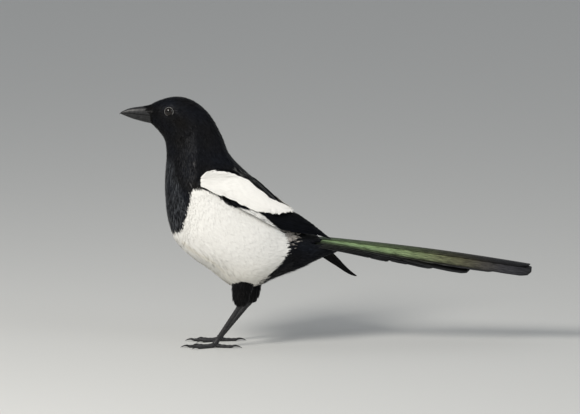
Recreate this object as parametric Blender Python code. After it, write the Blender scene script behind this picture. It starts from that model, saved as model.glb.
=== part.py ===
"""A Eurasian magpie, life size, standing still on its own two feet.

The bird faces -X, its left side faces -Y and the soles lie on z = 0. Lengths are in
millimetres until a mesh is made. Each named object is one closed piece.
"""

import math

import bmesh
import bpy
import numpy as np
from mathutils import Vector
from mathutils.bvhtree import BVHTree

METRES = 0.001
SEAM = 0.3
LEFT, RIGHT = -1, 1

# The body, as ribs from the face to the end of the tail coverts. Each rib is a flat
# ring that joins a point of the back line to a point of the throat and belly line:
# back x, back z, belly x, belly z, half width, and how much wider the back half is.
RIBS = (
    (-176.0, 242.4, -173.8, 222.6, 7.2, 0.00),
    (-166.0, 247.4, -168.0, 216.8, 13.2, 0.05),
    (-149.5, 250.9, -162.0, 208.4, 17.6, 0.10),
    (-132.5, 246.6, -159.8, 198.4, 18.8, 0.08),
    (-116.4, 233.0, -159.8, 187.0, 21.0, 0.04),
    (-104.8, 213.0, -161.0, 171.4, 27.5, 0.02),
    (-95.2, 191.0, -161.0, 151.0, 35.0, 0.00),
    (-74.5, 170.0, -157.2, 123.0, 41.5, -0.03),
    (-54.5, 151.5, -146.5, 100.2, 44.0, -0.08),
    (-40.0, 134.0, -117.0, 77.0, 43.0, -0.10),
    (-30.5, 123.0, -86.0, 57.8, 37.0, -0.08),
    (-22.0, 116.5, -44.0, 71.8, 27.0, -0.04),
    (-12.0, 111.0, -22.0, 80.2, 19.0, 0.00),
    (-1.0, 106.6, -6.0, 87.6, 14.5, 0.00),
    (9.0, 103.0, 6.0, 92.6, 10.5, 0.00),
    (14.0, 100.4, 13.0, 95.6, 5.0, 0.00),
)
FACE, NAPE, SHOULDERS, RUMP, COVERTS_END = 0.0, 3.35, 5.6, 11.85, 15.0
RIB_FULLNESS = 2.15
RIB_CORNERS, TORSO_RINGS, GUIDE_RINGS = 28, 22, 34

# The flank feathers end in a soft lip, and the folded wing lies in the bed above it.
FLANK_LIP = ((-150, 172), (-117, 161), (-92, 148), (-66, 138), (-46, 122), (-35, 104), (-34, 84), (-52, 66))
BED_DEPTH, BED_SLOPE, BED_FRONT, BED_RAMP = 3.6, 7.0, -131.0, 12.0
# The bed begins this far from the midline and reaches its full depth this much farther out.
BED_BESIDE, BED_BESIDE_RAMP = 12.0, 14.0

# The wing feathers lie on a curved sheet. Each row gives, at one x, the height and the
# distance from the midline of the sheet's upper edge, then those of its lower edge.
LEFT_SHEET = (
    (-132, 170, 29, 159, 35),
    (-114, 179, 25, 155, 38),
    (-91, 176, 18, 146, 40.5),
    (-72, 166, 12, 137, 38.5),
    (-50, 148, 5, 123, 33.5),
    (-33, 137, 2.2, 116, 26),
    (-15, 126, 1.8, 110, 18),
    (8, 110.5, 1.8, 104, 12),
)
RIGHT_SHEET = (
    (-132, 170, 29, 159, 35),
    (-114, 179, 25, 155, 38),
    (-91, 176, 18, 146, 40.5),
    (-72, 166, 12, 136, 38.5),
    (-50, 147.5, 7, 119, 34.5),
    (-33, 134, 9, 104, 32),
    (-12, 114, 16, 88, 31.5),
    (8, 92, 25, 75, 31.5),
    (32, 71, 29.5, 58, 31.5),
)
WING_CORE_START, WING_CORE_END = -127.0, -56.0
WING_CORE_TOP, WING_CORE_DEPTH, WING_CORE_SUNK, WING_CORE_RAMP = -0.9, 6.0, 1.9, 0.3
WING_CORE_RINGS, WING_CORE_COLUMNS, WING_CORE_THINS = 12, 7, 0.55
# The core's depth follows a sine between these shares of a half turn, to this power.
WING_CORE_BULGE, WING_CORE_POWER = (0.12, 0.84), 0.6
VANE_THICKNESS, VANE_TILT, VANE_STEP = 0.55, 0.15, 0.9
CLEAR_OF_BODY = 0.75
WING_BED, ROOT_HEIGHT, ROOT_SHARE = -3.6, -2.5, 0.22
# Each tier of wing feathers: how many, then for the upper and the lower end of the tier
# the x and the place across the sheet of the roots, and the same of the tips; then the
# feathers' width, their height over the sheet and how late they turn towards the tip.
LEFT_TIERS = {
    "flight": (8, (-78, 0.13), (-70, 0.93), (-26, 0.17), (6, 0.36), 11.0, -1.9, 2.0),
    "covert": (6, (-106, 0.22), (-98, 0.94), (-62, 0.20), (-50, 0.90), 10.0, 0.2, 1.0),
    "scapular": (5, (-124, 0.10), (-112, 0.60), (-36, 0.10), (-64, 0.70), 16.0, 1.9, 1.2),
}
RIGHT_TIERS = {
    "flight": (9, (-78, 0.13), (-70, 0.95), (-26, 0.17), (30, 0.62), 11.0, -1.9, 1.4),
    "covert": (6, (-106, 0.22), (-98, 0.94), (-62, 0.20), (-50, 0.90), 10.0, 0.2, 1.0),
    "scapular": (5, (-124, 0.10), (-112, 0.60), (-36, 0.10), (-64, 0.70), 16.0, 1.9, 1.2),
}
# How wide a vane is along its length, as shares of its full width.
VANE_SHAPE = ((0.0, 0.45), (0.16, 0.80), (0.45, 1.0), (0.78, 0.98), (0.92, 0.78), (1.0, 0.30))
FLIGHT_SHAPE = ((0.0, 0.45), (0.16, 0.80), (0.45, 1.0), (0.74, 0.88), (0.90, 0.56), (1.0, 0.16))

# The tail: twelve feathers in six pairs, the middle pair on top and longest.
TAIL_ROOT = (-13.0, 0.0, 110.0)
TAIL_DROP, TAIL_BEND = math.radians(5.4), math.radians(4.2)
# The tail is twisted, so that its left edge hangs lower the farther out it is.
TAIL_TWIST, TAIL_TWIST_RUN = math.radians(10.0), 140.0
TAIL_LENGTHS = (220.0, 187.0, 160.0, 124.0, 101.0, 79.0)
TAIL_WIDTHS = (25.0, 23.0, 21.0, 19.5, 18.0, 16.0)
TAIL_ROOT_SPREAD, TAIL_TIP_SPREAD = (1.2, 1.3), (5.5, 7.5, 11.5, 12.5, 13.0, 13.5)
# The drop from one pair to the next and the slope of the web, at the root and what the
# tip adds, then the width of the level ridge and how far the roots are sunk.
TAIL_STEP, TAIL_SLOPE, TAIL_RIDGE, TAIL_DIP = (0.9, 0.5), (0.30, 0.18), 7.0, 5.0
TAIL_DIP_RUN, TAIL_COLUMNS = 20.0, 3
# How far each pair hangs below the others at its own tip.
TAIL_TIP_DROOP = (1.0, -1.5, 2.6, 0.6, 0.0, 0.0)
# How far the middle pair reach over the midline, and how far the others stay off it.
TAIL_OVERLAP, TAIL_APART = 6.5, 0.25
TAIL_STRAY, TAIL_LENGTH_STRAY = 0.5, (0.992, 1.004)
TAIL_THICKNESS = 0.6
TAIL_SHAPE = ((0.0, 0.40), (0.14, 0.80), (0.35, 1.0), (0.62, 1.0), (0.86, 1.0), (0.965, 0.88), (1.0, 0.56))

EYE_RADIUS, EYE_STANDS_OUT = 5.2, 1.9
EYE_AT = (-156.7, 237.6)
EYE_LOOKS = Vector((-0.22, 0.97, 0.06)).normalized()
LID_RADIUS, LID_THICKNESS, LID_OUT = 4.45, 0.8, 3.1

# The bill: x, the height of its upper edge, of the mouth and of its lower edge, and
# its half width above and below the mouth.
FACE_LEAN = 0.111
BILL = (
    (-174.1, 241.2, 232.7, 223.8, 6.3, 5.5),
    (-181.0, 241.1, 233.3, 225.2, 5.7, 4.9),
    (-187.0, 240.6, 233.9, 226.8, 4.9, 4.1),
    (-193.0, 239.7, 234.4, 228.5, 3.9, 3.2),
    (-198.0, 238.4, 234.7, 230.4, 2.9, 2.3),
    (-202.5, 236.5, 234.5, 232.2, 1.8, 1.2),
    (-205.0, 235.0, 234.2, 233.4, 0.9, 0.5),
)
HOOK = (-206.2, 233.9, 232.6, 0.45)
BILL_FACETS, BILL_ROUND_UP, BILL_ROUND_ACROSS = 8, 0.85, 0.8
# The bristles run from root to tip; each vector after them leads from the highest
# bristle to the lowest one.
BRISTLES, BRISTLE_CLEARS = 4, 1.9
BRISTLE_ROOT, BRISTLE_ROOT_STEP = Vector((-167.0, 4.4, 242.0)), Vector((1.0, 4.6, -4.9))
BRISTLE_TIP, BRISTLE_TIP_STEP = Vector((-187.5, 2.2, 242.3)), Vector((3.5, 4.6, -5.0))
BRISTLE_RADII = ((0.0, 1.5), (0.3, 1.5), (0.5, 1.4), (0.75, 1.0), (1.0, 0.35))

HIPS = {LEFT: (-77.0, 84.0), RIGHT: (-68.5, 82.0)}
ANKLES = {LEFT: (-84.9, 42.4), RIGHT: (-75.4, 40.2)}
FOOT_JOINTS = {LEFT: (-111.0, 3.9), RIGHT: (-107.0, 3.9)}
STANCE = 19.5
THIGH_WIDTHS = ((0.0, 13.0), (0.36, 11.6), (0.56, 10.0), (0.66, 9.6), (0.80, 8.6), (0.92, 6.4), (1.0, 3.8))
THIGH_BOW = 2.4
# The shank: its radius at places below the ankle, then its scutes, which fill a stretch
# of its length, and its radius at the foot.
TARSUS_RADIUS, SCUTES, SCUTE_STEP, SCUTE_STRETCH = 2.25, 7, 0.22, (0.12, 0.90)
ANKLE_RADII, TARSUS_FOOT_RADIUS = ((0.0, 2.7), (2.5, 2.9)), 2.75
# The foot's collar round the shank's end: places along the shank and the radius there.
COLLAR = ((-3.2, 2.7), (0.0, 3.2), (1.2, 2.2))
# Each toe: its turn from straight ahead towards the outer side, its length, its
# thickness and the length of its claw. The first is the hind toe.
TOES = {
    "hind": (172.0, 17.0, 3.9, 10.0),
    "inner": (-26.0, 18.0, 3.3, 7.5),
    "middle": (2.0, 26.0, 3.7, 8.5),
    "outer": (30.0, 19.0, 3.3, 7.5),
}
# A toe's pads: the share of its length, the height of its middle and its swelling. The
# heights are those of a toe of this radius.
TOE_PROFILE = (
    (0.0, 3.2, 1.15),
    (0.2, 1.7, 1.12),
    (0.4, 1.28, 0.96),
    (0.55, 1.22, 1.02),
    (0.72, 1.15, 0.84),
    (0.88, 1.2, 0.92),
    (1.0, 1.35, 0.70),
)
TOE_PROFILE_RADIUS = 1.65
# A claw's arch: the share of its length, its rise or fall and the share of its radius.
CLAW_PROFILE = (
    (0.0, 0.0, 1.0),
    (0.3, 0.55, 0.86),
    (0.6, 0.35, 0.6),
    (0.85, -0.35, 0.32),
    (1.0, -0.95, 0.14),
)
CLAW_CLEARS, CLAW_ARCH, CLAW_RADIUS = 0.45, 1.3, 0.96

COLOURS = {
    "black_plumage": ((0.012, 0.012, 0.014), 0.55),
    "white_plumage": ((0.80, 0.79, 0.75), 0.75),
    "wing_plumage": ((0.012, 0.014, 0.020), 0.42),
    "tail_plumage": ((0.020, 0.050, 0.032), 0.35),
    "horn": ((0.022, 0.022, 0.024), 0.32),
    "leg_skin": ((0.020, 0.020, 0.022), 0.50),
    "eye": ((0.010, 0.007, 0.005), 0.06),
}


def clear_scene():
    for thing in list(bpy.data.objects):
        bpy.data.objects.remove(thing)


def material(name):
    """The named finish, made once."""
    found = bpy.data.materials.get(name)
    if found:
        return found
    colour, roughness = COLOURS[name]
    made = bpy.data.materials.new(name)
    made.use_nodes = True
    shader = made.node_tree.nodes["Principled BSDF"]
    shader.inputs["Base Color"].default_value = (*colour, 1.0)
    shader.inputs["Roughness"].default_value = roughness
    shader.inputs["Metallic"].default_value = 0.0
    return made


def solid(name, points, faces, finish):
    """A mesh object from points in millimetres."""
    mesh = bpy.data.meshes.new(name)
    mesh.from_pydata([Vector(p) * METRES for p in points], [], faces)
    mesh.materials.append(material(finish))
    shaped = bmesh.new()
    shaped.from_mesh(mesh)
    bmesh.ops.recalc_face_normals(shaped, faces=shaped.faces)
    if shaped.calc_volume(signed=True) < 0:
        bmesh.ops.reverse_faces(shaped, faces=shaped.faces)
    shaped.to_mesh(mesh)
    shaped.free()
    mesh.shade_smooth()
    made = bpy.data.objects.new(name, mesh)
    bpy.context.scene.collection.objects.link(made)
    return made


def evaluated_copy(thing):
    """The object's mesh with its modifiers applied."""
    graph = bpy.context.evaluated_depsgraph_get()
    return bpy.data.meshes.new_from_object(thing.evaluated_get(graph))


def keep_largest(thing):
    """Keeps the largest closed surface of the mesh and drops the others."""
    shaped = bmesh.new()
    shaped.from_mesh(thing.data)
    left = set(shaped.faces)
    islands = []
    while left:
        island, edge_of = set(), [left.pop()]
        while edge_of:
            face = edge_of.pop()
            island.add(face)
            near = {f for e in face.edges for f in e.link_faces} & left
            left -= near
            edge_of.extend(near)
        islands.append(island)
    islands.sort(key=lambda faces: sum(f.calc_area() for f in faces))
    scraps = [face for island in islands[:-1] for face in island]
    bmesh.ops.delete(shaped, geom=scraps, context="FACES")
    shaped.to_mesh(thing.data)
    shaped.free()


def combine(thing, others, operation):
    """Joins the others to the object, or cuts them from it, and removes them."""
    group = bpy.data.collections.new("operands")
    for other in others:
        group.objects.link(other)
    boolean = thing.modifiers.new(operation.lower(), "BOOLEAN")
    boolean.operation = operation
    boolean.operand_type = "COLLECTION"
    boolean.collection = group
    boolean.solver = "EXACT"
    finish = thing.data.materials[0]
    thing.data = evaluated_copy(thing)
    thing.modifiers.clear()
    for other in others:
        bpy.data.objects.remove(other)
    bpy.data.collections.remove(group)
    thing.data.materials.clear()
    thing.data.materials.append(finish)
    keep_largest(thing)
    thing.data.shade_smooth()
    return thing


def spline(rows, t):
    """The point at t on a smooth curve through the rows, where t counts rows."""
    last = len(rows) - 1
    i = min(max(int(t), 0), last - 1)
    f = t - i
    a, b, c, d = (np.array(rows[min(max(k, 0), last)], float) for k in range(i - 1, i + 3))
    return 0.5 * (2 * b + (c - a) * f + (2 * a - 5 * b + 4 * c - d) * f * f + (3 * b - a - 3 * c + d) * f**3)


def spline_at(rows, x):
    """The smooth curve's other values where its first value is x."""
    steps = [row[0] for row in rows]
    t = float(np.interp(x, steps, range(len(rows))))
    return spline(rows, t)[1:]


def ease(value):
    """0 below 0, 1 above 1 and smooth between them."""
    value = min(max(value, 0.0), 1.0)
    return value * value * (3 - 2 * value)


def loft(rings):
    """Points and faces of a closed skin over rings of equal length."""
    count = len(rings[0])
    points = [tuple(p) for ring in rings for p in ring]
    faces = []
    for i in range(len(rings) - 1):
        for k in range(count):
            a, b = i * count + k, i * count + (k + 1) % count
            faces.append((a, b, b + count, a + count))
    for ring, start in ((rings[0], 0), (rings[-1], (len(rings) - 1) * count)):
        points.append(tuple(np.mean(np.array(ring, float), axis=0)))
        for k in range(count):
            faces.append((start + k, start + (k + 1) % count, len(points) - 1))
    return points, faces


def tube(name, rows, corners, finish, start=None, end=None):
    """A closed round bar through rows of x, y, z and radius. start and end turn its ends."""
    rows = np.array(rows, float)
    rings = []
    for i, row in enumerate(rows):
        ahead = Vector(rows[min(i + 1, len(rows) - 1)][:3] - rows[max(i - 1, 0)][:3])
        ahead = start if i == 0 and start else end if i == len(rows) - 1 and end else ahead
        ahead = Vector(ahead).normalized()
        side = ahead.cross(Vector((0, 1, 0)))
        side = side.normalized() if side.length > 0.3 else ahead.cross(Vector((0, 0, 1))).normalized()
        up = side.cross(ahead)
        turns = [2 * math.pi * (k + 0.5) / corners for k in range(corners)]
        middle, radius = Vector(row[:3]), float(row[3])
        rings.append([middle + (side * math.cos(a) + up * math.sin(a)) * radius for a in turns])
    return solid(name, *loft(rings), finish)


def beyond_flank(x, z):
    """How far the point (x, z) of the side view lies above or behind the flank's lip."""
    nearest, sign = 1e9, 1.0
    for (x0, z0), (x1, z1) in zip(FLANK_LIP, FLANK_LIP[1:]):
        run, rise = x1 - x0, z1 - z0
        share = min(max(((x - x0) * run + (z - z0) * rise) / (run**2 + rise**2), 0.0), 1.0)
        away = math.hypot(x - x0 - share * run, z - z0 - share * rise)
        if away < nearest:
            nearest = away
            sign = 1.0 if run * (z - z0) - rise * (x - x0) > 0 else -1.0
    return nearest * sign


def bed(x, y, z):
    """How deep the wing's bed is let into the body at a point of its surface."""
    above = ease(beyond_flank(x, z) / BED_SLOPE + 0.5)
    behind = ease((x - BED_FRONT) / BED_RAMP)
    beside = ease((abs(y) - BED_BESIDE) / BED_BESIDE_RAMP)
    return BED_DEPTH * above * behind * beside


def body_ring(t, corners=RIB_CORNERS, grow=0.0, slide=0.0):
    """One ring of the body's skin. grow swells it and slide moves it along the body."""
    back_x, back_z, belly_x, belly_z, half_width, skew = spline(RIBS, t)
    back, belly = Vector((back_x, 0, back_z)), Vector((belly_x, 0, belly_z))
    middle, reach = (back + belly) / 2, (back - belly) / 2
    up = reach.normalized()
    onward = Vector((0, 1, 0)).cross(up)
    ring = []
    for k in range(corners):
        a = 2 * math.pi * (k + 0.5) / corners
        along = math.copysign(abs(math.cos(a)) ** (2 / RIB_FULLNESS), math.cos(a))
        across = math.copysign(abs(math.sin(a)) ** (2 / RIB_FULLNESS), math.sin(a))
        y = (half_width * (1 + skew * along) + grow) * across
        p = middle + up * (reach.length + grow) * along + onward * slide
        y -= math.copysign(bed(p.x, y, p.z), y)
        ring.append((p.x, y, p.z))
    return ring


def body_piece(name, start, end, rings, finish, grow=0.0):
    """The stretch of the body between two places, less half a seam at each end."""
    stations = np.linspace(start, end, rings)
    made = []
    for t in stations:
        slide = SEAM / 2 if t == start else -SEAM / 2 if t == end else 0.0
        made.append(body_ring(t, grow=grow, slide=slide))
    return solid(name, *loft(made), finish)


def swollen_body():
    """The trunk one seam larger, in one piece, for the wings to lie on."""
    return body_piece("swollen_body", NAPE, COVERTS_END, GUIDE_RINGS, "black_plumage", grow=SEAM)


def swollen_torso():
    """The torso one seam larger, which cuts the thighs clear of it."""
    return body_piece("swollen_torso", SHOULDERS, RUMP, TORSO_RINGS, "black_plumage", grow=SEAM)


def tree_of(*things):
    """A search tree over the surfaces of the objects, in millimetres."""
    points, faces = [], []
    for thing in things:
        start = len(points)
        points += [v.co / METRES for v in thing.data.vertices]
        faces += [[start + i for i in face.vertices] for face in thing.data.polygons]
    return BVHTree.FromPolygons(points, faces)


def pushed_clear(tree, point, gap):
    """The point, moved out of the body where it is nearer to it than the gap."""
    near, normal, _, _ = tree.find_nearest(point)
    if (point - near).dot(normal) >= gap:
        return point
    return near + normal * gap


def ball(name, centre, radius, finish, segments=16, rings=10):
    mesh = bpy.data.meshes.new(name)
    shaped = bmesh.new()
    bmesh.ops.create_uvsphere(shaped, u_segments=segments, v_segments=rings, radius=radius * METRES)
    bmesh.ops.translate(shaped, vec=Vector(centre) * METRES, verts=shaped.verts)
    bmesh.ops.triangulate(shaped, faces=shaped.faces)
    shaped.to_mesh(mesh)
    shaped.free()
    mesh.materials.append(material(finish))
    mesh.shade_smooth()
    made = bpy.data.objects.new(name, mesh)
    bpy.context.scene.collection.objects.link(made)
    return made


def hoop(name, centre, axis, radius, thickness, finish):
    """A closed ring, for the lids."""
    across = axis.cross(Vector((0, 0, 1))).normalized()
    up = across.cross(axis)
    turns, corners = 18, 6
    points, faces = [], []
    for i in range(turns):
        a = 2 * math.pi * i / turns
        out = across * math.cos(a) + up * math.sin(a)
        for k in range(corners):
            b = 2 * math.pi * k / corners
            points.append(centre + out * (radius + thickness * math.cos(b)) + axis * thickness * math.sin(b))
            j, m = (i + 1) % turns, (k + 1) % corners
            faces.append((i * corners + k, j * corners + k, j * corners + m, i * corners + m))
    return solid(name, points, faces, finish)


def vane(name, finish, shape, columns, place, thickness):
    """One feather. place gives the point at a share along, a share across and a height."""
    points = []
    for along, share in shape:
        spread = [share * c for c in np.linspace(-1.0, 1.0, columns)]
        points += [place(along, across, 0.0) for across in spread]
        points += [place(along, across, -thickness) for across in spread]
    faces = []
    row = 2 * columns
    for i in range(len(shape) - 1):
        for under in (0, columns):
            for c in range(columns - 1):
                a = i * row + under + c
                faces += [(a, a + 1, a + row + 1), (a, a + row + 1, a + row)]
        for c in (0, columns - 1):
            a = i * row + c
            faces.append((a, a + columns, a + row + columns, a + row))
    for start in (0, (len(shape) - 1) * row):
        for c in range(columns - 1):
            faces.append((start + c, start + c + 1, start + c + 1 + columns, start + c + columns))
    return solid(name, points, faces, finish)


def bill_half(name, upper):
    """The upper or the lower half of the bill, from the face to its tip."""
    turns = [math.pi * k / BILL_FACETS for k in range(BILL_FACETS + 1)]
    rings = []
    for i, (x, top, mouth, under, wide_above, wide_below) in enumerate(BILL):
        edge, flat = (top, mouth + SEAM / 2) if upper else (under, mouth - SEAM / 2)
        wide = wide_above if upper else wide_below
        lean = FACE_LEAN if i == 0 else 0.0
        ring = []
        for a in turns:
            z = flat + (edge - flat) * math.sin(a) ** BILL_ROUND_UP
            y = wide * math.copysign(abs(math.cos(a)) ** BILL_ROUND_ACROSS, math.cos(a))
            ring.append((x - (z - BILL[0][3]) * lean, y, z))
        ring += [(x - (flat - BILL[0][3]) * lean, y * wide * 0.5, flat) for y in (-1, 1)]
        rings.append(ring)
    if upper:
        x, top, under, wide = HOOK
        ring = [(x, wide * math.cos(a), under + (top - under) * math.sin(a)) for a in turns]
        rings.append(ring + [(x, y * wide * 0.5, under) for y in (-1, 1)])
    return solid(name, *loft(rings), "horn")


def bristle(name, bill_tree, side, i):
    """One stiff lock of the face, lying forward over the upper half of the bill."""
    low = i / (BRISTLES - 1)
    root, tip = BRISTLE_ROOT + BRISTLE_ROOT_STEP * low, BRISTLE_TIP + BRISTLE_TIP_STEP * low
    rows = []
    for share, radius in BRISTLE_RADII:
        p = root.lerp(tip, share)
        p = pushed_clear(bill_tree, Vector((p.x, side * p.y, p.z)), radius + BRISTLE_CLEARS)
        rows.append((*p, radius))
    return tube(name, rows, 5, "black_plumage")


def build_head():
    """The skull with an eye on each side, lids round it and bristles over the bill."""
    bill = tree_of(bill_half("bill_upper", True))
    bill_half("bill_lower", False)
    head = body_piece("head", FACE, NAPE, 12, "black_plumage")
    tree = tree_of(head)
    sides = {LEFT: "left", RIGHT: "right"}
    centres, lids = {}, []
    for side, word in sides.items():
        looks = Vector((EYE_LOOKS.x, EYE_LOOKS.y * side, EYE_LOOKS.z))
        start = Vector((EYE_AT[0], side * 60.0, EYE_AT[1]))
        skin, _, _, _ = tree.ray_cast(start, Vector((0, -side, 0)))
        centres[side] = skin - looks * (EYE_RADIUS - EYE_STANDS_OUT)
        middle = centres[side] + looks * LID_OUT
        lids.append(hoop(f"lid_{word}", middle, looks, LID_RADIUS, LID_THICKNESS, "eye"))
        lids += [bristle(f"bristle_{word}_{i}", bill, side, i) for i in range(BRISTLES)]
    combine(head, lids, "UNION")
    cuts = [ball(f"socket_{w}", centres[s], EYE_RADIUS + SEAM, "eye") for s, w in sides.items()]
    combine(head, cuts, "DIFFERENCE")
    for side, word in sides.items():
        ball(f"eye_{word}", centres[side], EYE_RADIUS, "eye")


def tail_place(pair, side, rng):
    """Where a point of one tail feather lies."""
    length = TAIL_LENGTHS[pair] * rng.uniform(*TAIL_LENGTH_STRAY)
    half = TAIL_WIDTHS[pair] / 2
    layer = pair + 1 if pair > 0 else int(side == LEFT)
    inner = -TAIL_OVERLAP if pair == 0 else TAIL_APART
    stray = rng.uniform(-TAIL_STRAY, TAIL_STRAY)

    def place(along, across, height):
        run = along * length
        turn = TAIL_DROP + TAIL_BEND * run / TAIL_LENGTHS[0]
        mean = TAIL_DROP + TAIL_BEND * run / TAIL_LENGTHS[0] / 2
        spread = run / length
        middle = TAIL_ROOT_SPREAD[0] + TAIL_ROOT_SPREAD[1] * pair
        middle += (TAIL_TIP_SPREAD[pair] + stray - middle) * spread
        y = max(middle + half * across, inner)
        outward = ease(run / TAIL_TWIST_RUN)
        slope = TAIL_SLOPE[0] + TAIL_SLOPE[1] * outward
        z = height - layer * (TAIL_STEP[0] + TAIL_STEP[1] * outward)
        z -= slope * (math.hypot(y, TAIL_RIDGE) - TAIL_RIDGE) + TAIL_DIP * (1 - ease(run / TAIL_DIP_RUN))
        z -= TAIL_TIP_DROOP[pair] * ease(2 * along - 1)
        twist = TAIL_TWIST * outward
        across_y = side * y * math.cos(twist) - z * math.sin(twist)
        z = side * y * math.sin(twist) + z * math.cos(twist)
        x = TAIL_ROOT[0] + run * math.cos(mean) + z * math.sin(turn)
        return Vector((x, across_y, TAIL_ROOT[2] - run * math.sin(mean) + z * math.cos(turn)))

    return place


def build_tail():
    """The end of the body with the twelve tail feathers rooted in it."""
    rng = np.random.default_rng(11)
    stub = body_piece("tail", RUMP, COVERTS_END, 6, "tail_plumage")
    vanes = []
    for pair in range(len(TAIL_LENGTHS)):
        for side in (LEFT, RIGHT):
            place = tail_place(pair, side, rng)
            name = f"rectrix_{pair}_{side}"
            vanes.append(vane(name, "tail_plumage", TAIL_SHAPE, TAIL_COLUMNS, place, TAIL_THICKNESS))
    return combine(stub, vanes, "UNION")


def sheet_point(rows, side, tree, x, w, height):
    """The point at x and share w across the wing's sheet, raised by the height.

    Where the sheet's bed would come too near the body, it is pushed clear of it first.
    """
    top_z, top_y, low_z, low_y = spline_at(rows, x)
    a = w * math.pi / 2
    y = top_y + (low_y - top_y) * math.sin(a)
    z = low_z + (top_z - low_z) * math.cos(a)
    out = Vector((0.0, side * (top_z - low_z) * math.sin(a), (low_y - top_y) * math.cos(a))).normalized()
    lying = Vector((x, side * y, z)) + out * WING_BED
    return pushed_clear(tree, lying, CLEAR_OF_BODY) + out * (height - WING_BED)


def sheet_width(rows, x):
    top_z, top_y, low_z, low_y = spline_at(rows, x)
    return 1.12 * math.hypot(top_z - low_z, low_y - top_y)


def wing_core(name, rows, side, end, tree):
    """The arm and its small coverts, a slab on the sheet that thins towards the rear."""
    rings = []
    first, last = WING_CORE_BULGE
    for x in np.linspace(WING_CORE_START, end, WING_CORE_RINGS):
        share = (x - WING_CORE_START) / (end - WING_CORE_START)
        bulge = math.sin(math.pi * (first + (last - first) * share)) ** WING_CORE_POWER
        deep = WING_CORE_DEPTH * bulge * (1 - WING_CORE_THINS * share)
        high = WING_CORE_TOP - WING_CORE_SUNK * (1 - ease(share / WING_CORE_RAMP))
        low = max(high - deep, WING_BED)
        outer, inner = (np.linspace(edge, 1 - edge, WING_CORE_COLUMNS) for edge in (0.02, 0.04))
        upper = [sheet_point(rows, side, tree, x, w, high) for w in outer]
        lower = [sheet_point(rows, side, tree, x, w, low) for w in inner[::-1]]
        rings.append(upper + lower)
    return solid(name, *loft(rings), "wing_plumage")


def wing_place(rows, side, tree, path, lift, width, height):
    """Where a point of one wing feather lies: path gives its middle, lift its height."""
    (root_x, root_w), (tip_x, tip_w), late = path

    def place(along, across, raised):
        x = root_x + (tip_x - root_x) * along
        w = root_w + (tip_w - root_w) * along**late
        away = across * width / 2
        rooted = 1 - ease(along / ROOT_SHARE)
        high = height + lift(x) + VANE_TILT * away + raised
        high -= rooted * (height - ROOT_HEIGHT)
        return sheet_point(rows, side, tree, x, w + away / sheet_width(rows, x), high)

    return place


def tier(prefix, rows, side, tree, sizes, shape, rng):
    """One tier of feathers, each lying over the next one below it."""
    count, first_root, last_root, first_tip, last_tip, width, height, late = sizes
    paths = []
    for q in np.linspace(0.0, 1.0, count):
        root = [a + (b - a) * q for a, b in zip(first_root, last_root)]
        tip = [a + (b - a) * q for a, b in zip(first_tip, last_tip)]
        tip[0] += rng.uniform(-1.0, 1.0)
        paths.append((root, tip, late))

    def middle(path, x):
        (root_x, root_w), (tip_x, tip_w), turn = path
        along = min(max((x - root_x) / (tip_x - root_x), 0.0), 1.0)
        return (root_w + (tip_w - root_w) * along**turn) * sheet_width(rows, x)

    def lift_of(i):
        def lift(x):
            raised = 0.0
            for upper, under in zip(paths[i:], paths[i + 1 :]):
                apart = middle(under, x) - middle(upper, x)
                raised += max(VANE_STEP - VANE_TILT * apart, 0.0)
            return raised

        return lift

    made = []
    for i, path in enumerate(paths):
        place = wing_place(rows, side, tree, path, lift_of(i), width, height)
        made.append(vane(f"{prefix}_{i}", "wing_plumage", shape, 2, place, VANE_THICKNESS))
    return made


def build_wing(name, side, rows, tiers, tree):
    """A folded wing: the arm's core, flight feathers, their coverts and the scapulars."""
    rng = np.random.default_rng(3)
    core = wing_core(name, rows, side, WING_CORE_END, tree)
    vanes = []
    for word, sizes in tiers.items():
        shape = FLIGHT_SHAPE if word == "flight" else VANE_SHAPE
        vanes += tier(f"{name}_{word}", rows, side, tree, sizes, shape, rng)
    return combine(core, vanes, "UNION")


def build_thigh(side, word):
    """The feathered thigh, cut clear of the torso."""
    (hip_x, hip_z), (ankle_x, ankle_z) = HIPS[side], ANKLES[side]
    rows = []
    for share, radius in THIGH_WIDTHS:
        bow = -THIGH_BOW * math.sin(math.pi * share)
        x = hip_x + (ankle_x - hip_x) * share + bow
        rows.append((x, side * STANCE, hip_z + (ankle_z - hip_z) * share, radius))
    thigh = tube(f"thigh_{word}", rows, 16, "black_plumage", end=(0, 0, -1))
    combine(thigh, [swollen_torso()], "DIFFERENCE")


def build_shank(word, ankle, joint, down):
    """The bare shank, stepped by its scutes, from the thigh to the foot's collar."""
    base = joint + down * (COLLAR[0][0] - SEAM)
    first, last = SCUTE_STRETCH
    rows = [(*(ankle + down * run), radius) for run, radius in ANKLE_RADII]
    for i in range(SCUTES):
        for share, more in ((0.0, SCUTE_STEP), (0.96, 0.0)):
            p = ankle.lerp(base, first + (last - first) * (i + share) / SCUTES)
            rows.append((*p, TARSUS_RADIUS + more))
    rows.append((*base, TARSUS_FOOT_RADIUS))
    tube(f"tarsus_{word}", rows, 8, "leg_skin", start=(0, 0, -1), end=down)


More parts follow.
